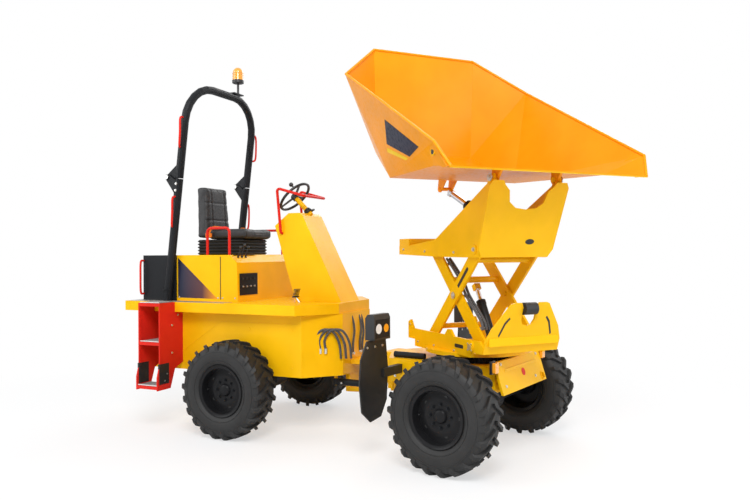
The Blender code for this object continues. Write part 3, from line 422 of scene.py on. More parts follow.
def rim_mesh():
    bm = bmesh.new()
    add_lathe(bm, [(0.070, 0.0), (0.070, 0.040), (0.066, 0.046), (0.047, 0.056), (0.045, 0.085),
                   (0.052, 0.105), (0.052, 0.130), (0.044, 0.160), (0.046, 0.188), (0.100, 0.190),
                   (0.117, 0.196), (0.121, 0.217),
                   (0.125, 0.2215), (0.1245, 0.2225), (0.119, 0.2220), (0.115, 0.2005), (-0.115, 0.2005),
                   (-0.119, 0.222), (-0.125, 0.2215), (-0.117, 0.196), (-0.060, 0.176), (0.030, 0.176),
                   (0.032, 0.08), (0.030, 0.0)], 72)
    for i in range(8):
        a = 2 * math.pi * i / 8
        at = (0.085 * math.cos(a), 0.046, 0.085 * math.sin(a))
        add_bolt(bm, at, (0, 1, 0), 0.0125, 1)
        add_bar(bm, at, (at[0], 0.066, at[2]), 0.0065, 12, 1)
    for i in range(5):
        a = 2 * math.pi * (i + 0.5) / 5
        add_bar(bm, (0.146 * math.cos(a), 0.040, 0.146 * math.sin(a)),
                (0.146 * math.cos(a), 0.0475, 0.146 * math.sin(a)), 0.014, 20, 2)
    add_bar(bm, (0.168, 0.055, 0.0), (0.160, 0.083, 0.0), 0.005, 10, 2)
    return bm


def make_wheels():
    for end in ("front", "rear"):
        for side in ("right", "left"):
            label = end + "_" + side
            body = "wheel_" + label
            joint = JOINTS[body]
            unit = FRONT if end == "front" else REAR
            turn = unit.to_3x3().to_4x4()
            if side == "right":
                turn = turn @ Matrix.Rotation(math.pi, 4, "Z")
            place = Matrix.Translation(Vector(joint["pos_m"])) @ turn
            tyre = put("tyre_tread_" + label, tyre_mesh(), place, TYRE, body, 32)
            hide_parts("tyre_" + label)
            rim = put("wheel_disc_" + label, rim_mesh(), place, [WHEEL_BLACK, CHARCOAL, RUBBER], body,
                      35)
            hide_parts("rim_" + label)


# ---------------------------------------------------------------- skip
LIP = Vector((0.30, 0.833, 0.170))
RIM_FRONT = Vector((0.14, 0.905, 0.277))
RIM_CORNER = Vector((-1.55, 0.925, 0.277))
RIM_REAR = Vector((-1.98, 0.524, 0.429))
FLOOR = (Vector((-0.04, 0.760, 0.045)), Vector((-0.93, 0.620, -0.400)), Vector((-1.55, 0.500, -0.405)))


def mirror(point):
    return Vector((point.x, -point.y, point.z))


def make_skip_trim():
    """Bead round the rim, a wear strip under the lip, and a gusset with its eye at each corner."""
    bm = bmesh.new()
    right = [mirror(LIP), mirror(RIM_FRONT), mirror(RIM_CORNER), mirror(RIM_REAR)]
    left = [LIP, RIM_FRONT, RIM_CORNER, RIM_REAR]
    loop = right + left[::-1]
    middle = Vector((-0.8, 0.0, 0.2))
    loop = [p + (middle - p).normalized() * 0.010 for p in loop]
    for ends in zip(loop, loop[1:]):
        add_tube(bm, ends, 0.011, 12)
    for p in loop[1:-1]:
        add_ball(bm, p, 0.0112, 12, 8)
    put("skip_rim_bead", bm, TIP, SKIP_PAINTED_SHADE, "skip", 40)

    bm = bmesh.new()
    run = (FLOOR[0] - LIP).normalized() * 0.075
    out = Vector((-run.z, 0.0, run.x)).normalized()
    edge = [mirror(LIP), Vector(LIP), LIP + run, mirror(LIP + run)]
    add_slab(bm, [c + out * 0.0006 for c in edge], [c + out * 0.0050 for c in edge])
    put("skip_cutting_lip", bm, TIP, BRIGHT, "skip", bevel=0.002)

    for label, s in SIDES:
        bm = bmesh.new()
        outline = [(0.285, 0.166), (0.125, 0.262), (0.070, 0.262), (0.020, 0.235), (0.005, 0.175),
                   (0.070, 0.110), (0.200, 0.125)]
        y0, y1 = sorted((s * 0.842, s * 0.850))
        verts = add_prism(bm, outline, y0, y1)
        for v in verts:     # lean the plate out with the skip's side
            v.co.y += s * (v.co.z - 0.17) * 0.50
        put("skip_corner_gusset_" + label, bm, TIP, SKIP_PAINTED_SHADE, "skip", bevel=0.0015)
        bm = bmesh.new()
        centre = Vector((0.085, s * 0.862, 0.190))
        ring = [centre + Vector((0.024 * math.cos(t), 0.0, 0.024 * math.sin(t)))
                for t in [2 * math.pi * i / 24 for i in range(25)]]
        add_tube(bm, ring, 0.005, 8)
        inner, outer = (centre + Vector((0, s * y, 0)) for y in (-0.010, 0.004))
        add_bar(bm, inner, outer, 0.018, 20, 1)
        put("skip_lashing_eye_" + label, bm, TIP, [YELLOW, RUBBER], "skip", 40)


def on_wall(points, proud):
    """Points (along the rim, down to the floor's corner), each 0..1, proud of the right wall."""
    a, b, c = mirror(RIM_FRONT), mirror(RIM_CORNER), mirror(FLOOR[1])
    normal = (b - a).cross(c - a).normalized()
    if normal.y > 0:
        normal = -normal
    out = []
    for along, down in points:
        top = a.lerp(b, along)
        out.append(top.lerp(c, down) + normal * proud)
    return out


def make_skip_panel():
    for name, mat, points in (
        ("skip_side_panel", NAVY, [(0.05, 0.20), (0.50, 0.20), (0.50, 0.52), (0.05, 0.42)]),
        ("skip_side_stripe", BRIGHT, [(0.05, 0.46), (0.50, 0.57), (0.50, 0.63), (0.05, 0.51)]),
    ):
        bm = bmesh.new()
        add_slab(bm, on_wall(points, 0.0005), on_wall(points, 0.0018))
        put(name, bm, TIP, mat, "skip")


# ---------------------------------------------------------------- seat
def plumped(name, low, high, cap, tilt=None):
    """A padded block: rounded, then blown up as cloth with a cap on its travel."""
    bm = bmesh.new()
    add_box(bm, Vector(low) + Vector((0.012,) * 3), Vector(high) - Vector((0.012,) * 3))
    if tilt:
        for v in bm.verts:
            tilt(v)
    bmesh.ops.bevel(bm, geom=bm.edges[:], offset=0.028, segments=4, profile=0.6, affect="EDGES")
    obj = put(name, bm, Matrix(), VINYL, "chassis")
    remesh = obj.modifiers.new("remesh", "REMESH")
    remesh.mode = "VOXEL"
    remesh.voxel_size = 0.009
    graph = bpy.context.evaluated_depsgraph_get()
    mesh = bpy.data.meshes.new_from_object(obj.evaluated_get(graph))
    obj.modifiers.clear()
    obj.data = mesh
    rest = [v.co.copy() for v in mesh.vertices]
    cloth = obj.modifiers.new("cloth", "CLOTH")
    cloth.settings.use_pressure = True
    cloth.settings.uniform_pressure_force = 4.0
    cloth.settings.effector_weights.gravity = 0.0
    cloth.settings.quality = 5
    scene = bpy.context.scene
    for step in range(1, 16):
        scene.frame_set(step)
    graph = bpy.context.evaluated_depsgraph_get()
    blown = bpy.data.meshes.new_from_object(obj.evaluated_get(graph))
    obj.modifiers.clear()
    for vert, was in zip(blown.vertices, rest):
        travel = vert.co - was
        if travel.length > cap:
            vert.co = was + travel.normalized() * cap
    obj.data = blown
    scene.frame_set(1)
    obj.data.shade_smooth()
    return obj


def clamp_above(obj, level):
    for vert in obj.data.vertices:
        vert.co.z = max(vert.co.z, level)


def make_seat():
    low, high = (Vector(v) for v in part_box("seat_cushion"))
    cushion = plumped("seat_pad", low, high, 0.011)
    clamp_above(cushion, low.z + 0.0005)
    middle = (low + high) / 2
    for vert in cushion.data.vertices:
        if vert.co.z > middle.z:
            across = abs(vert.co.y - middle.y)
            for seam in (0.085, 0.190):
                vert.co.z -= 0.009 * math.exp(-((across - seam) / 0.007) ** 2)
            vert.co.z -= 0.010 * math.exp(-(across / 0.16) ** 2)
    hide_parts("seat_cushion")

    low, high = (Vector(v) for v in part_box("seat_back"))
    lean = 0.035

    def tilt(vert):
        share = (vert.co.z - low.z) / (high.z - low.z)
        vert.co.x += lean * (0.5 - share)
        vert.co.y = middle.y + (vert.co.y - middle.y) * (1.0 - 0.16 * share)

    inset = Vector((0.012, 0, 0))
    back = plumped("seat_backrest", low + inset, high - inset, 0.011, tilt)
    clamp_above(back, low.z + 0.0005)
    for vert in back.data.vertices:
        vert.co.x = min(vert.co.x, high.x - 0.001) if vert.co.z < low.z + 0.12 else vert.co.x
        share = (vert.co.z - low.z) / (high.z - low.z)
        across = abs(vert.co.y - middle.y)
        front = vert.co.x > (low.x + high.x) / 2
        if front:
            vert.co.x -= 0.008 * math.exp(-((across - 0.10) / 0.007) ** 2)
            for level in (0.36, 0.68):
                vert.co.x -= 0.007 * math.exp(-((share - level) / 0.012) ** 2)
    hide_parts("seat_back")

    low, high = (Vector(v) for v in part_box("seat_bellows"))
    bm = bmesh.new()
    folds = 5
    rings = []
    for i in range(folds * 2 + 1):
        z = low.z + (high.z - low.z) * i / (folds * 2)
        inset = 0.002 if i % 2 else 0.022
        ring = []
        for sx, sy in ((-1, -1), (1, -1), (1, 1), (-1, 1)):
            cx = high.x - 0.03 if sx > 0 else low.x + 0.03
            cy = high.y - 0.03 if sy > 0 else low.y + 0.03
            start = math.atan2(sy, sx) - math.pi / 4
            for k in range(5):
                a = start + math.pi / 2 * k / 4
                r = 0.03 - inset
                ring.append(bm.verts.new((cx + math.cos(a) * r, cy + math.sin(a) * r, z)))
        rings.append(ring)
    for one, two in zip(rings, rings[1:]):
        for k in range(len(one)):
            n = (k + 1) % len(one)
            bm.faces.new([one[k], one[n], two[n], two[k]])
    bm.faces.new(rings[0])
    bm.faces.new(rings[-1])
    bellows = put("seat_bellows_folds", bm, Matrix(), RUBBER, "chassis", 60, 0.002)
    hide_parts("seat_bellows")

    bm = bmesh.new()
    cushion_low, cushion_high = (Vector(v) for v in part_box("seat_cushion"))
    for s in (-1, 1):
        y = middle.y + s * 0.247
        add_box(bm, (cushion_low.x + 0.02, y - 0.006, cushion_low.z + 0.02),
                (cushion_low.x + 0.09, y + 0.006, cushion_low.z + 0.06), 0)
        route = smooth_route([(cushion_low.x + 0.05, y, cushion_low.z + 0.05),
                              (cushion_low.x + 0.09, y - s * 0.010, cushion_high.z + 0.010),
                              (cushion_low.x + 0.16, y - s * 0.060, cushion_high.z + 0.012)], 6)
        for one, two in zip(route, route[1:]):
            add_bar(bm, one, two, 0.013, 4, 0)
    put("seat_belt", bm, Matrix(), [BELT], "chassis", bevel=0.001)


# ---------------------------------------------------------------- driver's unit
def make_deck_tread():
    """Lozenges raised on the deck's walking areas, and steel plates along its edges."""
    bm = bmesh.new()
    pitch = 0.034
    areas = ((-2.33, -2.27, -0.64, 0.64), (-2.26, -0.47, -0.65, -0.58), (-2.26, -0.47, 0.58, 0.65),
             (-1.14, -0.76, -0.57, 0.57), (-0.75, -0.48, -0.57, -0.20), (-0.75, -0.48, 0.20, 0.57))
    for x0, x1, y0, y1 in areas:
        for i in range(max(1, int((x1 - x0) / pitch))):
            for j in range(max(1, int((y1 - y0) / pitch))):
                x = x0 + pitch * (i + 0.5)
                y = y0 + pitch * (j + 0.5)
                turn = math.radians(45 if (i + j) % 2 else -45)
                ahead = Vector((math.cos(turn), math.sin(turn), 0)) * 0.013
                aside = Vector((-math.sin(turn), math.cos(turn), 0)) * 0.0035
                base = Vector((x, y, DECK_Z - 0.0005))
                ends = [bm.verts.new(base + v) for v in (ahead, aside, -ahead, -aside)]
                top = bm.verts.new(base + Vector((0, 0, 0.0028)))
                for a, b in zip(ends, ends[1:] + ends[:1]):
                    bm.faces.new([a, b, top])
                bm.faces.new(ends[::-1])
    put("deck_tread_pattern", bm, REAR, YELLOW, "chassis")
    bm = bmesh.new()
    for side in (-1, 1):
        lo, hi = sorted((side * 0.515, side * 0.652))
        add_box(bm, (-2.325, lo, DECK_Z), (-1.20, hi, DECK_Z + 0.0015))
        lo, hi = sorted((0.0, side * 0.514))
        add_box(bm, (-2.325, lo, DECK_Z), (-2.270, hi, DECK_Z + 0.0015))
    put("deck_walkway_plates", bm, REAR, PLATE_STEEL, "chassis")


def make_ladder_trim():
    treads = ((1.1303, 0.665, 0.855), (0.78, 0.605, 0.855), (0.39, 0.725, 0.885))
    for label, s in SIDES:
        bm = bmesh.new()
        for z, y0, y1 in treads:
            top = z + 0.0298
            lo, hi = sorted((s * y0, s * y1))
            add_box(bm, (-1.972, lo, top), (-1.758, hi, top + 0.003), 0)
            count = int((hi - lo) / 0.016)
            for k in range(count):
                y = lo + 0.008 + 0.016 * k
                add_box(bm, (-1.966, y - 0.004, top + 0.002), (-1.764, y + 0.004, top + 0.007), 0)
            edge = s * y1
            e0, e1 = sorted((edge, edge - s * 0.010))
            add_box(bm, (-1.973, e0, top), (-1.757, e1, top + 0.008), 1)
        put("ladder_grips_" + label, bm, REAR, [GRIP, WHITE_EDGE], "chassis", bevel=0.0008)
        bm = bmesh.new()
        for x, out in zip(LADDER_X, (-1, 1)):
            for z, y in ((0.46, 0.80), (0.52, 0.77), (0.70, 0.70), (0.95, 0.70), (1.04, 0.62)):
                add_bolt(bm, (x, s * y, z), (out, 0, 0), 0.008)
        put("ladder_bolts_" + label, bm, REAR, STEEL, "chassis", 30)
        bm = bmesh.new()
        for x in (-1.984, -1.746):
            lo, hi = sorted((s * 0.742, s * 0.868))
            add_box(bm, (x - 0.0085, lo, 0.432), (x + 0.0085, hi, 0.615))
        put("ladder_flexible_hangers_" + label, bm, REAR, RUBBER, "chassis", bevel=0.001)


def make_side_panels():
    for label, s in SIDES:
        bm = bmesh.new()
        y = s * TUB_Y
        lo, hi = sorted((y, y + s * 0.006))
        add_box(bm, (-2.27, lo, 0.62), (-2.02, hi, 1.055))
        for k in range(11):
            z = 0.66 + 0.034 * k
            outline = [(y + s * 0.005, z), (y + s * 0.020, z), (y + s * 0.005, z + 0.022)]
            add_prism(bm, outline, -2.25, -2.04, "YZ")
        for x in (-2.26, -2.03):
            for z in (0.635, 1.04):
                add_bolt(bm, (x, y + s * 0.006, z), (0, s, 0), 0.006, 1)
        put("side_louvres_" + label, bm, REAR, [YELLOW, STEEL], "chassis", bevel=0.001)
        bm = bmesh.new()
        lo, hi = sorted((y, y + s * 0.003))
        seam = [(-1.985, 0.536), (-1.979, 0.536), (-1.30, 0.985), (-0.50, 0.985), (-0.50, 0.991),
                (-1.304, 0.991)]
        add_prism(bm, seam, lo, hi)
        for x, z in ((-0.56, 0.62), (-0.56, 0.93), (-1.00, 0.93)):
            add_bar(bm, (x, lo, z), (x, hi + 0.002, z), 0.016, 24)
        put("body_folds_" + label, bm, REAR, YELLOW, "chassis", bevel=0.001)
    bm = bmesh.new()
    for k in range(7):
        add_box(bm, (-2.2862, -0.40, 0.66 + k * 0.055), (-2.2800, 0.40, 0.69 + k * 0.055), 0)
    add_box(bm, (-2.2845, -0.45, 0.62), (-2.2801, 0.45, 1.05), 1)
    for y in (-0.43, 0.43):
        for z in (0.64, 1.03):
            add_bolt(bm, (-2.285, y, z), (-1, 0, 0), 0.007, 2)
    put("rear_cooling_grille", bm, REAR, [RUBBER, YELLOW, STEEL], "chassis", bevel=0.001)


def gradient_decal():
    """Blank wedge that runs from navy at the rear to orange at the front."""
    mat, tree, shader = new_finish("seat_box_wedge", (0.02, 0.03, 0.08), 0.35)
    place = tree.nodes.new("ShaderNodeTexCoord")
    split = tree.nodes.new("ShaderNodeSeparateXYZ")
    tree.links.new(place.outputs["Generated"], split.inputs["Vector"])
    ramp_to(tree, shader.inputs["Base Color"], split.outputs["X"],
            [(0.10, (0.008, 0.010, 0.035)), (0.62, (0.10, 0.03, 0.03)), (0.98, (0.85, 0.30, 0.005))])
    return mat


def make_seat_box_trim():
    wedge = gradient_decal()
    for label, s in SIDES:
        bm = bmesh.new()
        lo, hi = sorted((s * BOX_Y, s * 0.4912))
        add_prism(bm, [(-1.845, 1.565), (-1.845, 1.19), (-1.385, 1.185)], lo, hi)
        put("seat_box_wedge_" + label, bm, REAR, wedge, "chassis")
        bm = bmesh.new()
        lo, hi = sorted((s * BOX_Y, s * 0.4935))
        add_box(bm, (-1.355, lo, 1.18), (-1.349, hi, 1.575), 0)
        for x in (-1.83, -1.38, -1.33, -1.19):
            add_bolt(bm, (x, s * BOX_Y, 1.195), (0, s, 0), 0.006, 1)
        put("seat_box_seam_" + label, bm, REAR, [RUBBER, STEEL], "chassis")
    bm = bmesh.new()
    add_box(bm, (-1.2345, -0.44, BOX_TOP), (-1.2545, -0.10, BOX_TOP + 0.006), 0)
    for k, (y, h) in enumerate(((-0.40, 0.10), (-0.34, 0.12), (-0.28, 0.10))):
        base = Vector((-1.225, y, 1.56))
        top = base + Vector((0.035, 0.0, h))
        add_bar(bm, base, top, 0.005, 10, 0)
        add_ball(bm, top, 0.015)
        add_bar(bm, base - Vector((0.01, 0, 0.02)), base + Vector((0.008, 0, 0.02)), 0.016, 16, 0, 0.008)
    add_box(bm, (-1.1625, -0.46, 1.22), (-1.1570, -0.18, 1.42), 2)
    for k in range(4):
        at = Vector((-1.157, -0.42 + 0.06 * k, 1.37))
        add_bar(bm, at, at + Vector((0.008, 0, 0)), 0.011, 16, 0)
        add_bar(bm, at + Vector((0, 0, -0.07)), at + Vector((0.012, 0, -0.07)), 0.008, 12, 1)
    put("control_panel", bm, REAR, [RUBBER, STEEL, CHARCOAL], "chassis", 40)
    bm = bmesh.new()
    for s in (-1, 1):
        add_bar(bm, (-2.262, s * 0.36, 1.30), (-2.275, s * 0.36, 1.30), 0.012, 16)
        add_bar(bm, (-2.262, s * 0.36, 1.48), (-2.275, s * 0.36, 1.48), 0.012, 16)
    for s in (-1, 1):
        spots = ((0.507, 1.22), (0.545, 1.235), (0.550, 1.38), (0.545, 1.525), (0.507, 1.54))
        add_tube(bm, smooth_route([(-2.255, s * y, z) for y, z in spots], 6), HANDLE_R, 12)
    put("base_grab_handles", bm, REAR, RED, "chassis", 40)


def make_console_trim():
    bm = bmesh.new()
    face = [(-0.925, 1.880), (-0.840, 1.945)]
    along = Vector((face[1][0] - face[0][0], 0, face[1][1] - face[0][1]))
    out = Vector((-along.z, 0, along.x)).normalized()
    centre = Vector((face[0][0], 0, face[0][1])) + along / 2 + out * 0.001
    for y, r in ((-0.10, 0.032), (0.0, 0.040), (0.10, 0.032)):
        at = centre + Vector((0, y, 0))
        add_bar(bm, at, at + out * 0.010, r, 32, 0)
        add_bar(bm, at + out * 0.009, at + out * 0.011, r * 0.86, 32, 1)
        tip = at + out * 0.0115
        add_box(bm, tip - Vector((0.012, 0.0015, 0.001)), tip + Vector((0.012, 0.0015, 0.001)), 2)
    put("dash_dials", bm, REAR, [PLASTIC, WHITE_EDGE, RED], "chassis", 40)
    bm = bmesh.new()
    collar = Vector((-0.85 + 0.150, 0.0, 2.14 - 0.150))
    down = Vector((0.7071, 0.0, -0.7071))
    for k in range(4):
        at = collar + down * (0.012 * k - 0.03)
        add_bar(bm, at, at + down * 0.006, 0.033 + 0.003 * k, 24)
    add_bar(bm, collar + Vector((0, 0.02, 0)), collar + Vector((-0.03, 0.14, 0.03)), 0.005, 10)
    add_bar(bm, collar + Vector((-0.026, 0.12, 0.026)), collar + Vector((-0.034, 0.16, 0.034)), 0.010, 12)
    put("column_gaiter", bm, REAR, RUBBER, "chassis", 40)
    x0 = -0.66
    for label, y in (("right", -0.36), ("left", 0.30)):
        bm = bmesh.new()
        for k in range(6):
            add_box(bm, (x0 + 0.002 * k, y, DECK_Z + 0.055 + 0.012 * k),
                    (x0 + 0.02 + 0.004 * k, y + 0.07, DECK_Z + 0.062 + 0.012 * k), 0)
        add_box(bm, (x0 - 0.004, y - 0.003, DECK_Z + 0.045), (x0 + 0.026, y + 0.073, DECK_Z + 0.055), 0)
        middle = y + 0.035
        add_bar(bm, (x0 + 0.012, middle, DECK_Z + 0.045), (x0 + 0.05, middle, DECK_Z), 0.009, 12, 1)
        put("foot_pedal_" + label, bm, REAR, [RUBBER, STEEL], "chassis", bevel=0.001)


def make_steering_trim():
    bm = bmesh.new()
    joint = JOINTS["steering"]
    place = basis(joint["pos_m"], Vector((0, 1, 0)).cross(Vector(joint["axis"])), (0, 1, 0))
    add_bar(bm, (0, 0, 0.016), (0, 0, 0.026), 0.034, 32, 0, 0.026)
    at = Vector((0.10, -0.128, 0.012))
    add_bar(bm, at - Vector((0, 0, 0.02)), at + Vector((0, 0, 0.020)), 0.008, 12, 0)
    add_ball(bm, at + Vector((0, 0, 0.035)), 0.021, 20, 12)
    put("steering_knob", bm, place, PLASTIC, "steering_wheel_body", 50)
    bm = bmesh.new()
    wheel_r = 0.165
    ring = [(0.0128 * math.cos(a), wheel_r + 0.0128 * math.sin(a)) for a in ring_of(16)]
    add_lathe(bm, ring, 72)
    bmesh.ops.rotate(bm, verts=bm.verts, cent=(0, 0, 0), matrix=Matrix.Rotation(math.pi / 2, 3, "X"))
    add_bar(bm, (0, 0, -0.0268), (0, 0, 0.0165), 0.0352, 32)
    for k in range(3):
        a = math.radians(90 + 120 * k)
        out = Vector((math.cos(a), math.sin(a), 0))
        flat = Vector((-math.sin(a), math.cos(a), 0))
        half = flat * 0.011
        start, end = out * 0.02, out * wheel_r
        spoke = [start - half * 1.5, end - half, end + half, start + half * 1.5]
        up = Vector((0, 0, 0.004))
        add_slab(bm, [p - up for p in spoke], [p + up for p in spoke])
    wheel = put("steering_wheel_rim", bm, place, PLASTIC, "steering_wheel_body", 40)
    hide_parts("steering_wheel")


# ---------------------------------------------------------------- roll bar
def hoop_x(z):
    return -1.935 + (z - 1.1603) * 0.128


def make_roll_bar_trim():
    # name, body, then (height for the lean, forward of it, out from the middle, height) along each handle
    for name, body, spots in (
        ("leg_grab_handles", "chassis", (
            (1.86, 0.0, 0.570, 1.86), (2.0, 0.01, 0.608, 1.88), (2.0, 0.02, 0.613, 2.00),
            (2.0, 0.02, 0.608, 2.12), (2.14, 0.0, 0.570, 2.14))),
        ("hoop_grab_handles", "rops_hoop_folding", (
            (2.60, 0.0, 0.570, 2.60), (2.75, 0.01, 0.610, 2.62), (2.75, 0.02, 0.613, 2.74),
            (2.75, 0.02, 0.608, 2.86), (2.86, 0.0, 0.562, 2.88))),
    ):
        bm = bmesh.new()
        for s in (-1, 1):
            route = smooth_route([(hoop_x(h) + x, s * y, z) for h, x, y, z in spots], 6)
            add_tube(bm, route, HANDLE_R, 12)
        put(name, bm, REAR, RED, body, 40)
    bm = bmesh.new()
    for s in (-1, 1):
        y = s * HOOP_Y
        for z in (2.20, 2.26):
            add_bolt(bm, (hoop_x(z), y + s * 0.0375, z), (0, s, 0), 0.010, 0)
        for side in (-1, 1):
            at = Vector((FOLD_PIN[0], y + side * 0.042, FOLD_PIN[1]))
            add_bar(bm, at, at + Vector((0, side * 0.010, 0)), 0.020, 20, 0)
        add_bar(bm, (hoop_x(1.22), y, 1.2603), (hoop_x(1.22), y, 1.272), 0.050, 24, 1)
    put("roll_bar_hinge_bolts", bm, REAR, [STEEL, CHARCOAL], "chassis", 35)
    bm = bmesh.new()
    start = Vector((hoop_x(2.60) + 0.040, 0.50, 2.60))
    end = Vector((hoop_x(2.78) + 0.030, 0.46, 2.78))
    turns, steps = 9, 14
    axis = (end - start).normalized()
    one = axis.orthogonal().normalized()
    two = axis.cross(one)
    helix = []
    for k in range(turns * steps + 1):
        t = k / (turns * steps)
        a = 2 * math.pi * k / steps
        helix.append(start.lerp(end, t) + (one * math.cos(a) + two * math.sin(a)) * 0.014)
    add_tube(bm, helix, 0.003, 6)
    add_bar(bm, start - axis * 0.03, end + axis * 0.03, 0.005, 10)
    put("hoop_assist_spring", bm, REAR, CHARCOAL, "rops_hoop_folding", 40)


def make_beacon():
    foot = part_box("beacon")[0][2]
    place = REAR @ Matrix.Translation((hoop_x(3.202), 0.24, foot)) @ Matrix.Rotation(math.pi / 2, 4, "X")
    bm = bmesh.new()
    add_lathe(bm, [(0.010, 0.0), (0.010, 0.016), (0.030, 0.012), (0.118, 0.012), (0.124, 0.050),
                   (0.130, 0.060), (0.158, 0.060), (0.160, 0.0)], 48, 0)
    for a in ring_of(6):
        x, z = 0.040 * math.cos(a), 0.040 * math.sin(a)
        add_bar(bm, (x, 0.121, z), (x, 0.126, z), 0.004, 8, 2)
    add_box(bm, (-0.035, 0.0, -0.05), (0.035, 0.0115, 0.11), 2)
    dome = [(0.159, 0.0), (0.159, 0.057), (0.235, 0.054)]
    for k in range(1, 8):
        t = math.pi / 2 * k / 8
        dome.append((0.235 + 0.055 * math.sin(t), 0.054 * math.cos(t)))
    dome += [(0.2898, 0.0)]
    add_lathe(bm, dome, 48, 1)
    for k in range(4):
        y = 0.172 + 0.018 * k
        add_lathe(bm, [(y, 0.0555), (y + 0.003, 0.0585), (y + 0.006, 0.0555)], 48, 1)
    beacon = put("beacon_lamp", bm, place, [PLASTIC, AMBER, CHARCOAL], "rops_hoop_folding", 35)
    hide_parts("beacon")


# ---------------------------------------------------------------- front unit
def make_lamps():
    for label, s in SIDES:
        bm = bmesh.new()
        y0, y1 = sorted((s * 0.602, s * 0.818))
        side = [(0.462, 0.9306), (0.462, 1.10), (0.485, 1.128), (0.535, 1.128), (0.549, 1.10),
                (0.549, 0.9306)]
        add_prism(bm, side, y0, y1, "XZ", 0)
        inner = 0.016
        add_box(bm, (0.5485, y0 + inner, 0.946), (0.5495, y1 - inner, 1.088), 3)
        middle = (y0 + y1) / 2
        for off, r, index in ((-0.048, 0.043, 1), (0.052, 0.036, 2)):
            at = Vector((0.541, middle + off, 1.017))
            add_bar(bm, at, at + Vector((0.0085, 0, 0)), r, 40, 3)
            add_bar(bm, at + Vector((0.006, 0, 0)), at + Vector((0.0088, 0, 0)), r * 0.90, 40, index)
        unit = put("headlamp_unit_" + label, bm, FRONT, [PLASTIC, CLEAR, AMBER, CHARCOAL], "carrier",
                   40)
        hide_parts("headlamp_" + label)
        bm = bmesh.new()
        y0, y1 = sorted((s * 0.4205, s * 0.488))
        add_box(bm, (1.342, y0, 0.702), (1.362, y1, 0.798), 0)
        add_box(bm, (1.362, y0 + 0.006, 0.712), (1.392, y1 - 0.006, 0.788), 1)
        lamp = put("indicator_unit_" + label, bm, FRONT, [PLASTIC, AMBER], "carrier",
                   bevel=0.004)
        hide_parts("indicator_" + label)


def make_front_trim():
    bm = bmesh.new()
    for a in ring_of(88):
        out = Vector((math.cos(a), math.sin(a), 0))
        flat = Vector((-math.sin(a), math.cos(a), 0))
        base = Vector((1.0, 0, 0)) + out * 0.320
        tip = base + out * 0.013
        tooth = [base - flat * 0.008, tip - flat * 0.004, tip + flat * 0.004, base + flat * 0.008]
        add_slab(bm, [(p.x, p.y, 0.7415) for p in tooth], [(p.x, p.y, 0.778) for p in tooth])
    put("slew_gear_teeth", bm, FRONT, CHARCOAL, "carrier")
    bm = bmesh.new()
    for s in (-1, 1):
        for x in (0.46, 0.62, 0.78, 0.94, 1.10, 1.26):
            add_bolt(bm, (x, s * FRAME_Y, 0.60), (0, s, 0), 0.009, 0)
        add_bar(bm, (1.093, s * 0.395, 0.56), (1.093, s * 0.408, 0.56), 0.030, 24, 0)
    lean = math.atan2(0.072, 0.235)
    for y, z in ((-0.34, 0.76), (-0.34, 0.60), (0.22, 0.60), (0.34, 0.76)):
        x = NOSE_X + (NOSE_TOP - z) * math.tan(lean)
        add_bolt(bm, (x, y, z), (math.cos(lean), 0, math.sin(lean)), 0.010, 0)
    at = Vector((NOSE_X + (NOSE_TOP - 0.66) * math.tan(lean), 0.02, 0.66))
    out = Vector((math.cos(lean), 0, math.sin(lean)))
    add_bar(bm, at, at + out * 0.003, 0.030, 32, 1)
    put("front_frame_bolts", bm, FRONT, [STEEL, RED], "carrier", 30)
    bm = bmesh.new()
    ring = []
    for k in range(33):
        a = 2 * math.pi * k / 32
        z = 0.585 + 0.028 * math.sin(a)
        ring.append(Vector((NOSE_X + 0.005 + (NOSE_TOP - z) * math.tan(lean), 0.36 + 0.028 * math.cos(a), z)))
    add_tube(bm, ring, 0.005, 8)
    put("tow_eye_ring", bm, FRONT, YELLOW, "carrier", 40)
    for label, s in SIDES:
        bm = bmesh.new()
        for k in range(3):
            add_bolt(bm, (0.4995, s * (0.66 + 0.10 * k), 0.88), (-1, 0, 0), 0.008, 0)
            add_bolt(bm, (0.5125, s * (0.66 + 0.10 * k), 0.88), (1, 0, 0), 0.008, 0)
        for k in range(5):
            lo, hi = sorted((s * 0.64, s * 0.90))
            add_box(bm, (0.4975, lo, 0.42 + 0.07 * k), (0.5000, hi, 0.428 + 0.07 * k), 1)
        put("mudflap_fixings_" + label, bm, FRONT, [STEEL, RUBBER], "carrier", 30)


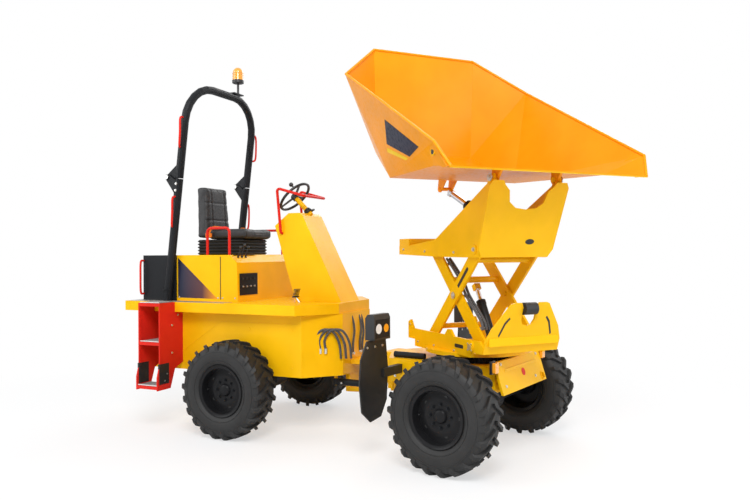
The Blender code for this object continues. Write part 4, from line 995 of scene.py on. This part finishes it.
def make_table_trim():
    bm = bmesh.new()
    for s in (-1, 1):
        at = Vector((0.44, s * 0.335, 0.90))
        add_bar(bm, at, at + Vector((0, s * 0.010, 0)), 0.044, 32, 0)
        add_bar(bm, at + Vector((0, s * 0.010, 0)), at + Vector((0, s * 0.016, 0)), 0.021, 24, 1)
        for k in range(4):
            a = math.pi / 4 + math.pi / 2 * k
            spot = at + Vector((0.033 * math.cos(a), s * 0.010, 0.033 * math.sin(a)))
            add_bolt(bm, spot, (0, s, 0), 0.006, 1)
        for x, z in ((-0.40, 0.845), (-0.12, 0.845), (0.20, 0.845), (-0.545, 0.98)):
            add_bolt(bm, (x, s * RAIL_Y, z), (0, s, 0), 0.008, 1)
        lo, hi = sorted((s * RAIL_Y, s * 0.3362))
        add_prism(bm, [(0.215, 0.872), (0.330, 0.872), (0.336, 0.886), (0.330, 0.900), (0.215, 0.900),
                       (0.209, 0.886)], lo, hi, "XZ", 2)
    for k in range(12):
        a = 2 * math.pi * (k + 0.5) / 12
        at = Vector((0.385 * math.cos(a), 0.385 * math.sin(a), 0.8312))
        if abs(at.y) < 0.30 and at.x > -0.2:
            add_bolt(bm, at, (0, 0, 1), 0.009, 1)
    put("table_bosses", bm, TABLE, [YELLOW, STEEL, RUBBER], "table", 30)
    bm = bmesh.new()
    lean = 0.35
    for s in (-1, 1):
        ends = [[], []]
        for y, z in ((0.225, 0.985), (0.235, 0.997), (0.20, 1.09), (0.165, 1.13), (0.155, 1.12),
                     (0.188, 1.08)):
            x = 0.57 + (z - 0.831) * lean + 0.0205
            ends[0].append((x, s * y, z))
            ends[1].append((x + 0.0015, s * y, z))
        add_slab(bm, *ends)
    put("fork_plate_slots", bm, TABLE, RUBBER, "table")


def make_arm_trim():
    bm = bmesh.new()
    half = [math.pi * k / 8 for k in range(9)]
    slot = [(0.10, -0.014)]
    slot += [(0.30 + 0.014 * math.sin(t), -0.014 * math.cos(t)) for t in half]
    slot += [(0.10, 0.014)]
    for s in (-1, 1):
        at = Vector((0.0, s * 0.2712, 0))
        add_bar(bm, at, at + Vector((0, s * 0.003, 0)), 0.028, 28, 0)
        add_bolt(bm, at + Vector((0, s * 0.0005, 0)), (0, s, 0), 0.012, 0)
        add_prism(bm, slot, *sorted((s * OUTER_Y, s * (OUTER_Y + 0.001))), "XZ", 1)
    put("outer_arm_caps", bm, OUTER, [STEEL, RUBBER], "outer_scissor", 30)
    bm = bmesh.new()
    route = smooth_route([(-0.10, -0.205, 0.062), (-0.16, -0.205, 0.085), (-0.30, -0.205, 0.078),
                          (-0.45, -0.205, 0.066), (-0.60, -0.205, 0.085), (-0.78, -0.205, 0.070),
                          (-0.86, -0.205, 0.058)], 10)
    add_tube(bm, route, HOSE_R, 12, 0)
    add_tube(bm, [p + Vector((0.0, 0.028, 0.002)) for p in route], HOSE_R, 12, 0)
    for x in (-0.12, -0.45, -0.80):
        add_box(bm, (x - 0.012, -0.222, 0.052), (x + 0.012, -0.165, 0.060), 1)
    put("arm_hoses", bm, INNER, [BRAID, STEEL], "inner_scissor", 50)


def make_upper_trim():
    bm = bmesh.new()
    hx, hz = 0.233, 0.515
    for s in (-1, 1):
        at = Vector((hx, s * 0.309, hz))
        add_bar(bm, at, at + Vector((0, s * 0.006, 0)), 0.030, 28, 0)
        add_bolt(bm, at + Vector((0, s * 0.004, 0)), (0, s, 0), 0.014, 0)
        at = Vector((0.0, s * UPPER_Y, 0.0))
        add_bar(bm, at, at + Vector((0, s * 0.008, 0)), 0.036, 28, 1)
        add_bolt(bm, at + Vector((0, s * 0.007, 0)), (0, s, 0), 0.013, 0)
        for x, z in ((-0.30, -0.02), (-0.78, -0.01), (-1.18, 0.01)):
            add_bolt(bm, (x, s * UPPER_Y, z), (0, s, 0), 0.009, 0)
        add_bar(bm, (-1.12, s * 0.22, 0.099), (-1.12, s * 0.22, 0.1035), 0.030, 24, 2)
        add_bar(bm, (-1.23, s * 0.22, 0.099), (-1.23, s * 0.22, 0.1035), 0.030, 24, 2)
    put("upper_frame_bosses", bm, HEAD, [STEEL, YELLOW, RUBBER], "upper", 30)
    bm = bmesh.new()
    lean = (0.28 - 0.083) / 0.522
    ends = [[], []]
    for a in ring_of(24):
        y, z = 0.10 + 0.040 * math.cos(a), 0.055 + 0.020 * math.sin(a)
        x = 0.083 + 0.012 + (z + 0.062) * lean + 0.0003
        ends[0].append((x, y, z))
        ends[1].append((x + 0.001, y, z))
    add_slab(bm, *ends)
    put("upper_plate_oval", bm, HEAD, RUBBER, "upper")


def make_ram_trim():
    """Gland rings and port fittings on the barrels."""
    for name, bore, length in (("lift", 0.036, 0.37), ("tip", 0.045, 0.62), ("steer", 0.030, 0.33)):
        foot = Vector(JOINTS[name + "_cylinder"]["pos_m"])
        along = Vector(JOINTS[name + "_ram"]["axis"])
        pin = Vector(JOINTS[name + "_cylinder"]["axis"])
        place = basis(foot, along, pin)
        bm = bmesh.new()
        add_bar(bm, (length - 0.035, 0, 0), (length - 0.002, 0, 0), bore + 0.003, 40, 0)
        add_bar(bm, (0.045, 0, 0), (0.060, 0, 0), bore + 0.002, 40, 0)
        for x in (0.085, length - 0.055):
            add_bar(bm, (x, 0, bore - 0.002), (x, 0, bore + 0.018), 0.010, 16, 0)
            add_bar(bm, (x, 0, bore + 0.016), (x, 0, bore + 0.026), 0.008, 6, 1)
        put(name + "_barrel_fittings", bm, place, [CHARCOAL, STEEL], name + "_cylinder_barrel",
            35)


def make_rear_hoses():
    bm = bmesh.new()
    for y, sag in ((0.05, 0.02), (0.10, 0.05), (-0.09, 0.03)):
        route = smooth_route([(-0.30, y, 1.066), (-0.215, y, 1.045), (-0.185, y + 0.01, 0.95 - sag),
                              (-0.188, y - 0.01, 0.82 - sag), (-0.196, y, 0.70)], 8)
        add_tube(bm, route, 0.010, 12, 0)
        add_bar(bm, (-0.1995, y, 0.70), (-0.180, y, 0.70), 0.013, 6, 1)
    for k in range(3):
        y = -0.415 + 0.020 * k
        x = -0.385 + 0.040 * k
        route = smooth_route([(x, y - 0.025, 0.760), (x - 0.005, y - 0.030, 0.850),
                              (x + 0.050, y - 0.010, 0.930), (x + 0.130, y + 0.040, 0.925),
                              (x + 0.175, y + 0.085, 0.820), (x + 0.180, y + 0.110, 0.680)], 8)
        add_tube(bm, route, HOSE_R, 12, 0)
        add_bar(bm, (x, y - 0.025, 0.730), (x, y - 0.025, 0.775), 0.015, 6, 1)
    put("nose_hoses", bm, REAR, [BRAID, STEEL], "chassis", 50)


# ---------------------------------------------------------------- stage
def blend_shaders(tree, factor, plain, white, output):
    mix = tree.nodes.new("ShaderNodeMixShader")
    tree.links.new(factor, mix.inputs["Fac"])
    tree.links.new(plain, mix.inputs[1])
    tree.links.new(white, mix.inputs[2])
    tree.links.new(mix.outputs["Shader"], tree.nodes[output].inputs["Surface"])


def white_of(tree, kind):
    white = tree.nodes.new(kind)
    white.inputs["Color"].default_value = (1.0, 1.0, 1.0, 1.0)
    white.inputs["Strength"].default_value = 1.0
    return white


def make_stage():
    world = bpy.data.worlds.new("studio")
    bpy.context.scene.world = world
    world.use_nodes = True
    tree = world.node_tree
    back = tree.nodes["Background"]
    back.inputs["Color"].default_value = (0.90, 0.94, 1.0, 1.0)
    back.inputs["Strength"].default_value = 0.45
    path = tree.nodes.new("ShaderNodeLightPath")
    seen = tree.nodes.new("ShaderNodeMath")
    seen.operation = "MAXIMUM"
    tree.links.new(path.outputs["Is Camera Ray"], seen.inputs[0])
    tree.links.new(path.outputs["Is Glossy Ray"], seen.inputs[1])
    white = white_of(tree, "ShaderNodeBackground")
    blend_shaders(tree, seen.outputs["Value"], back.outputs["Background"], white.outputs["Background"],
                  "World Output")

    mesh = bpy.data.meshes.new("floor")
    bm = bmesh.new()
    bmesh.ops.create_grid(bm, x_segments=1, y_segments=1, size=60.0)
    bm.to_mesh(mesh)
    bm.free()
    floor = bpy.data.objects.new("floor", mesh)
    bpy.context.scene.collection.objects.link(floor)
    # the floor shows shadow near the machine and fades to white away from it
    mat, tree, shader = new_finish("pale_floor", (0.93, 0.93, 0.93), 0.9)
    place = tree.nodes.new("ShaderNodeTexCoord")
    away = tree.nodes.new("ShaderNodeVectorMath")
    away.operation = "LENGTH"
    tree.links.new(place.outputs["Object"], away.inputs[0])
    fade = tree.nodes.new("ShaderNodeMapRange")
    fade.inputs["From Min"].default_value = 1.5
    fade.inputs["From Max"].default_value = 5.5
    fade.inputs["To Min"].default_value = 0.55
    tree.links.new(away.outputs["Value"], fade.inputs["Value"])
    path = tree.nodes.new("ShaderNodeLightPath")
    seen = tree.nodes.new("ShaderNodeMath")
    seen.operation = "MULTIPLY"
    tree.links.new(fade.outputs["Result"], seen.inputs[0])
    tree.links.new(path.outputs["Is Camera Ray"], seen.inputs[1])
    white = white_of(tree, "ShaderNodeEmission")
    blend_shaders(tree, seen.outputs["Value"], shader.outputs["BSDF"], white.outputs["Emission"],
                  "Material Output")
    mesh.materials.append(mat)

    for name, place, size, power in (
        ("key", (3.0, -6.5, 7.5), 4.0, 620.0),
        ("fill", (-6.5, -5.0, 5.0), 6.0, 240.0),
        ("rim", (0.0, 7.5, 6.5), 6.0, 300.0),
        ("front", (8.0, 0.5, 3.5), 4.0, 130.0),
    ):
        lamp = bpy.data.lights.new(name, "AREA")
        lamp.shape = "DISK"
        lamp.size = size
        lamp.energy = power
        obj = bpy.data.objects.new(name, lamp)
        bpy.context.scene.collection.objects.link(obj)
        obj.location = place
        aim = Vector((0.0, 0.0, 1.4)) - Vector(place)
        obj.rotation_euler = aim.to_track_quat("-Z", "Y").to_euler()


def make_camera():
    data = bpy.data.cameras.new("camera")
    data.sensor_width = 36.0
    data.lens = 33.13
    cam = bpy.data.objects.new("camera", data)
    bpy.context.scene.collection.objects.link(cam)
    bpy.context.scene.camera = cam
    yaw, pitch, roll = 2.002, 0.005, -0.006
    forward = Vector((math.cos(yaw) * math.cos(pitch), math.sin(yaw) * math.cos(pitch), math.sin(pitch)))
    cam.location = REAR @ Vector((2.592, -5.661, 1.596))
    turn = forward.to_track_quat("-Z", "Y").to_matrix()
    cam.rotation_euler = (turn @ Matrix.Rotation(roll, 3, "Z")).to_euler()


# ---------------------------------------------------------------- make it all
paint_cad()
make_wheels()
make_skip_trim()
make_skip_panel()
make_seat()
make_deck_tread()
make_ladder_trim()
make_side_panels()
make_seat_box_trim()
make_console_trim()
make_steering_trim()
make_roll_bar_trim()
make_beacon()
make_lamps()
make_front_trim()
make_table_trim()
make_arm_trim()
make_upper_trim()
make_ram_trim()
make_rear_hoses()
make_stage()
make_camera()
bpy.context.scene.view_settings.view_transform = "Standard"
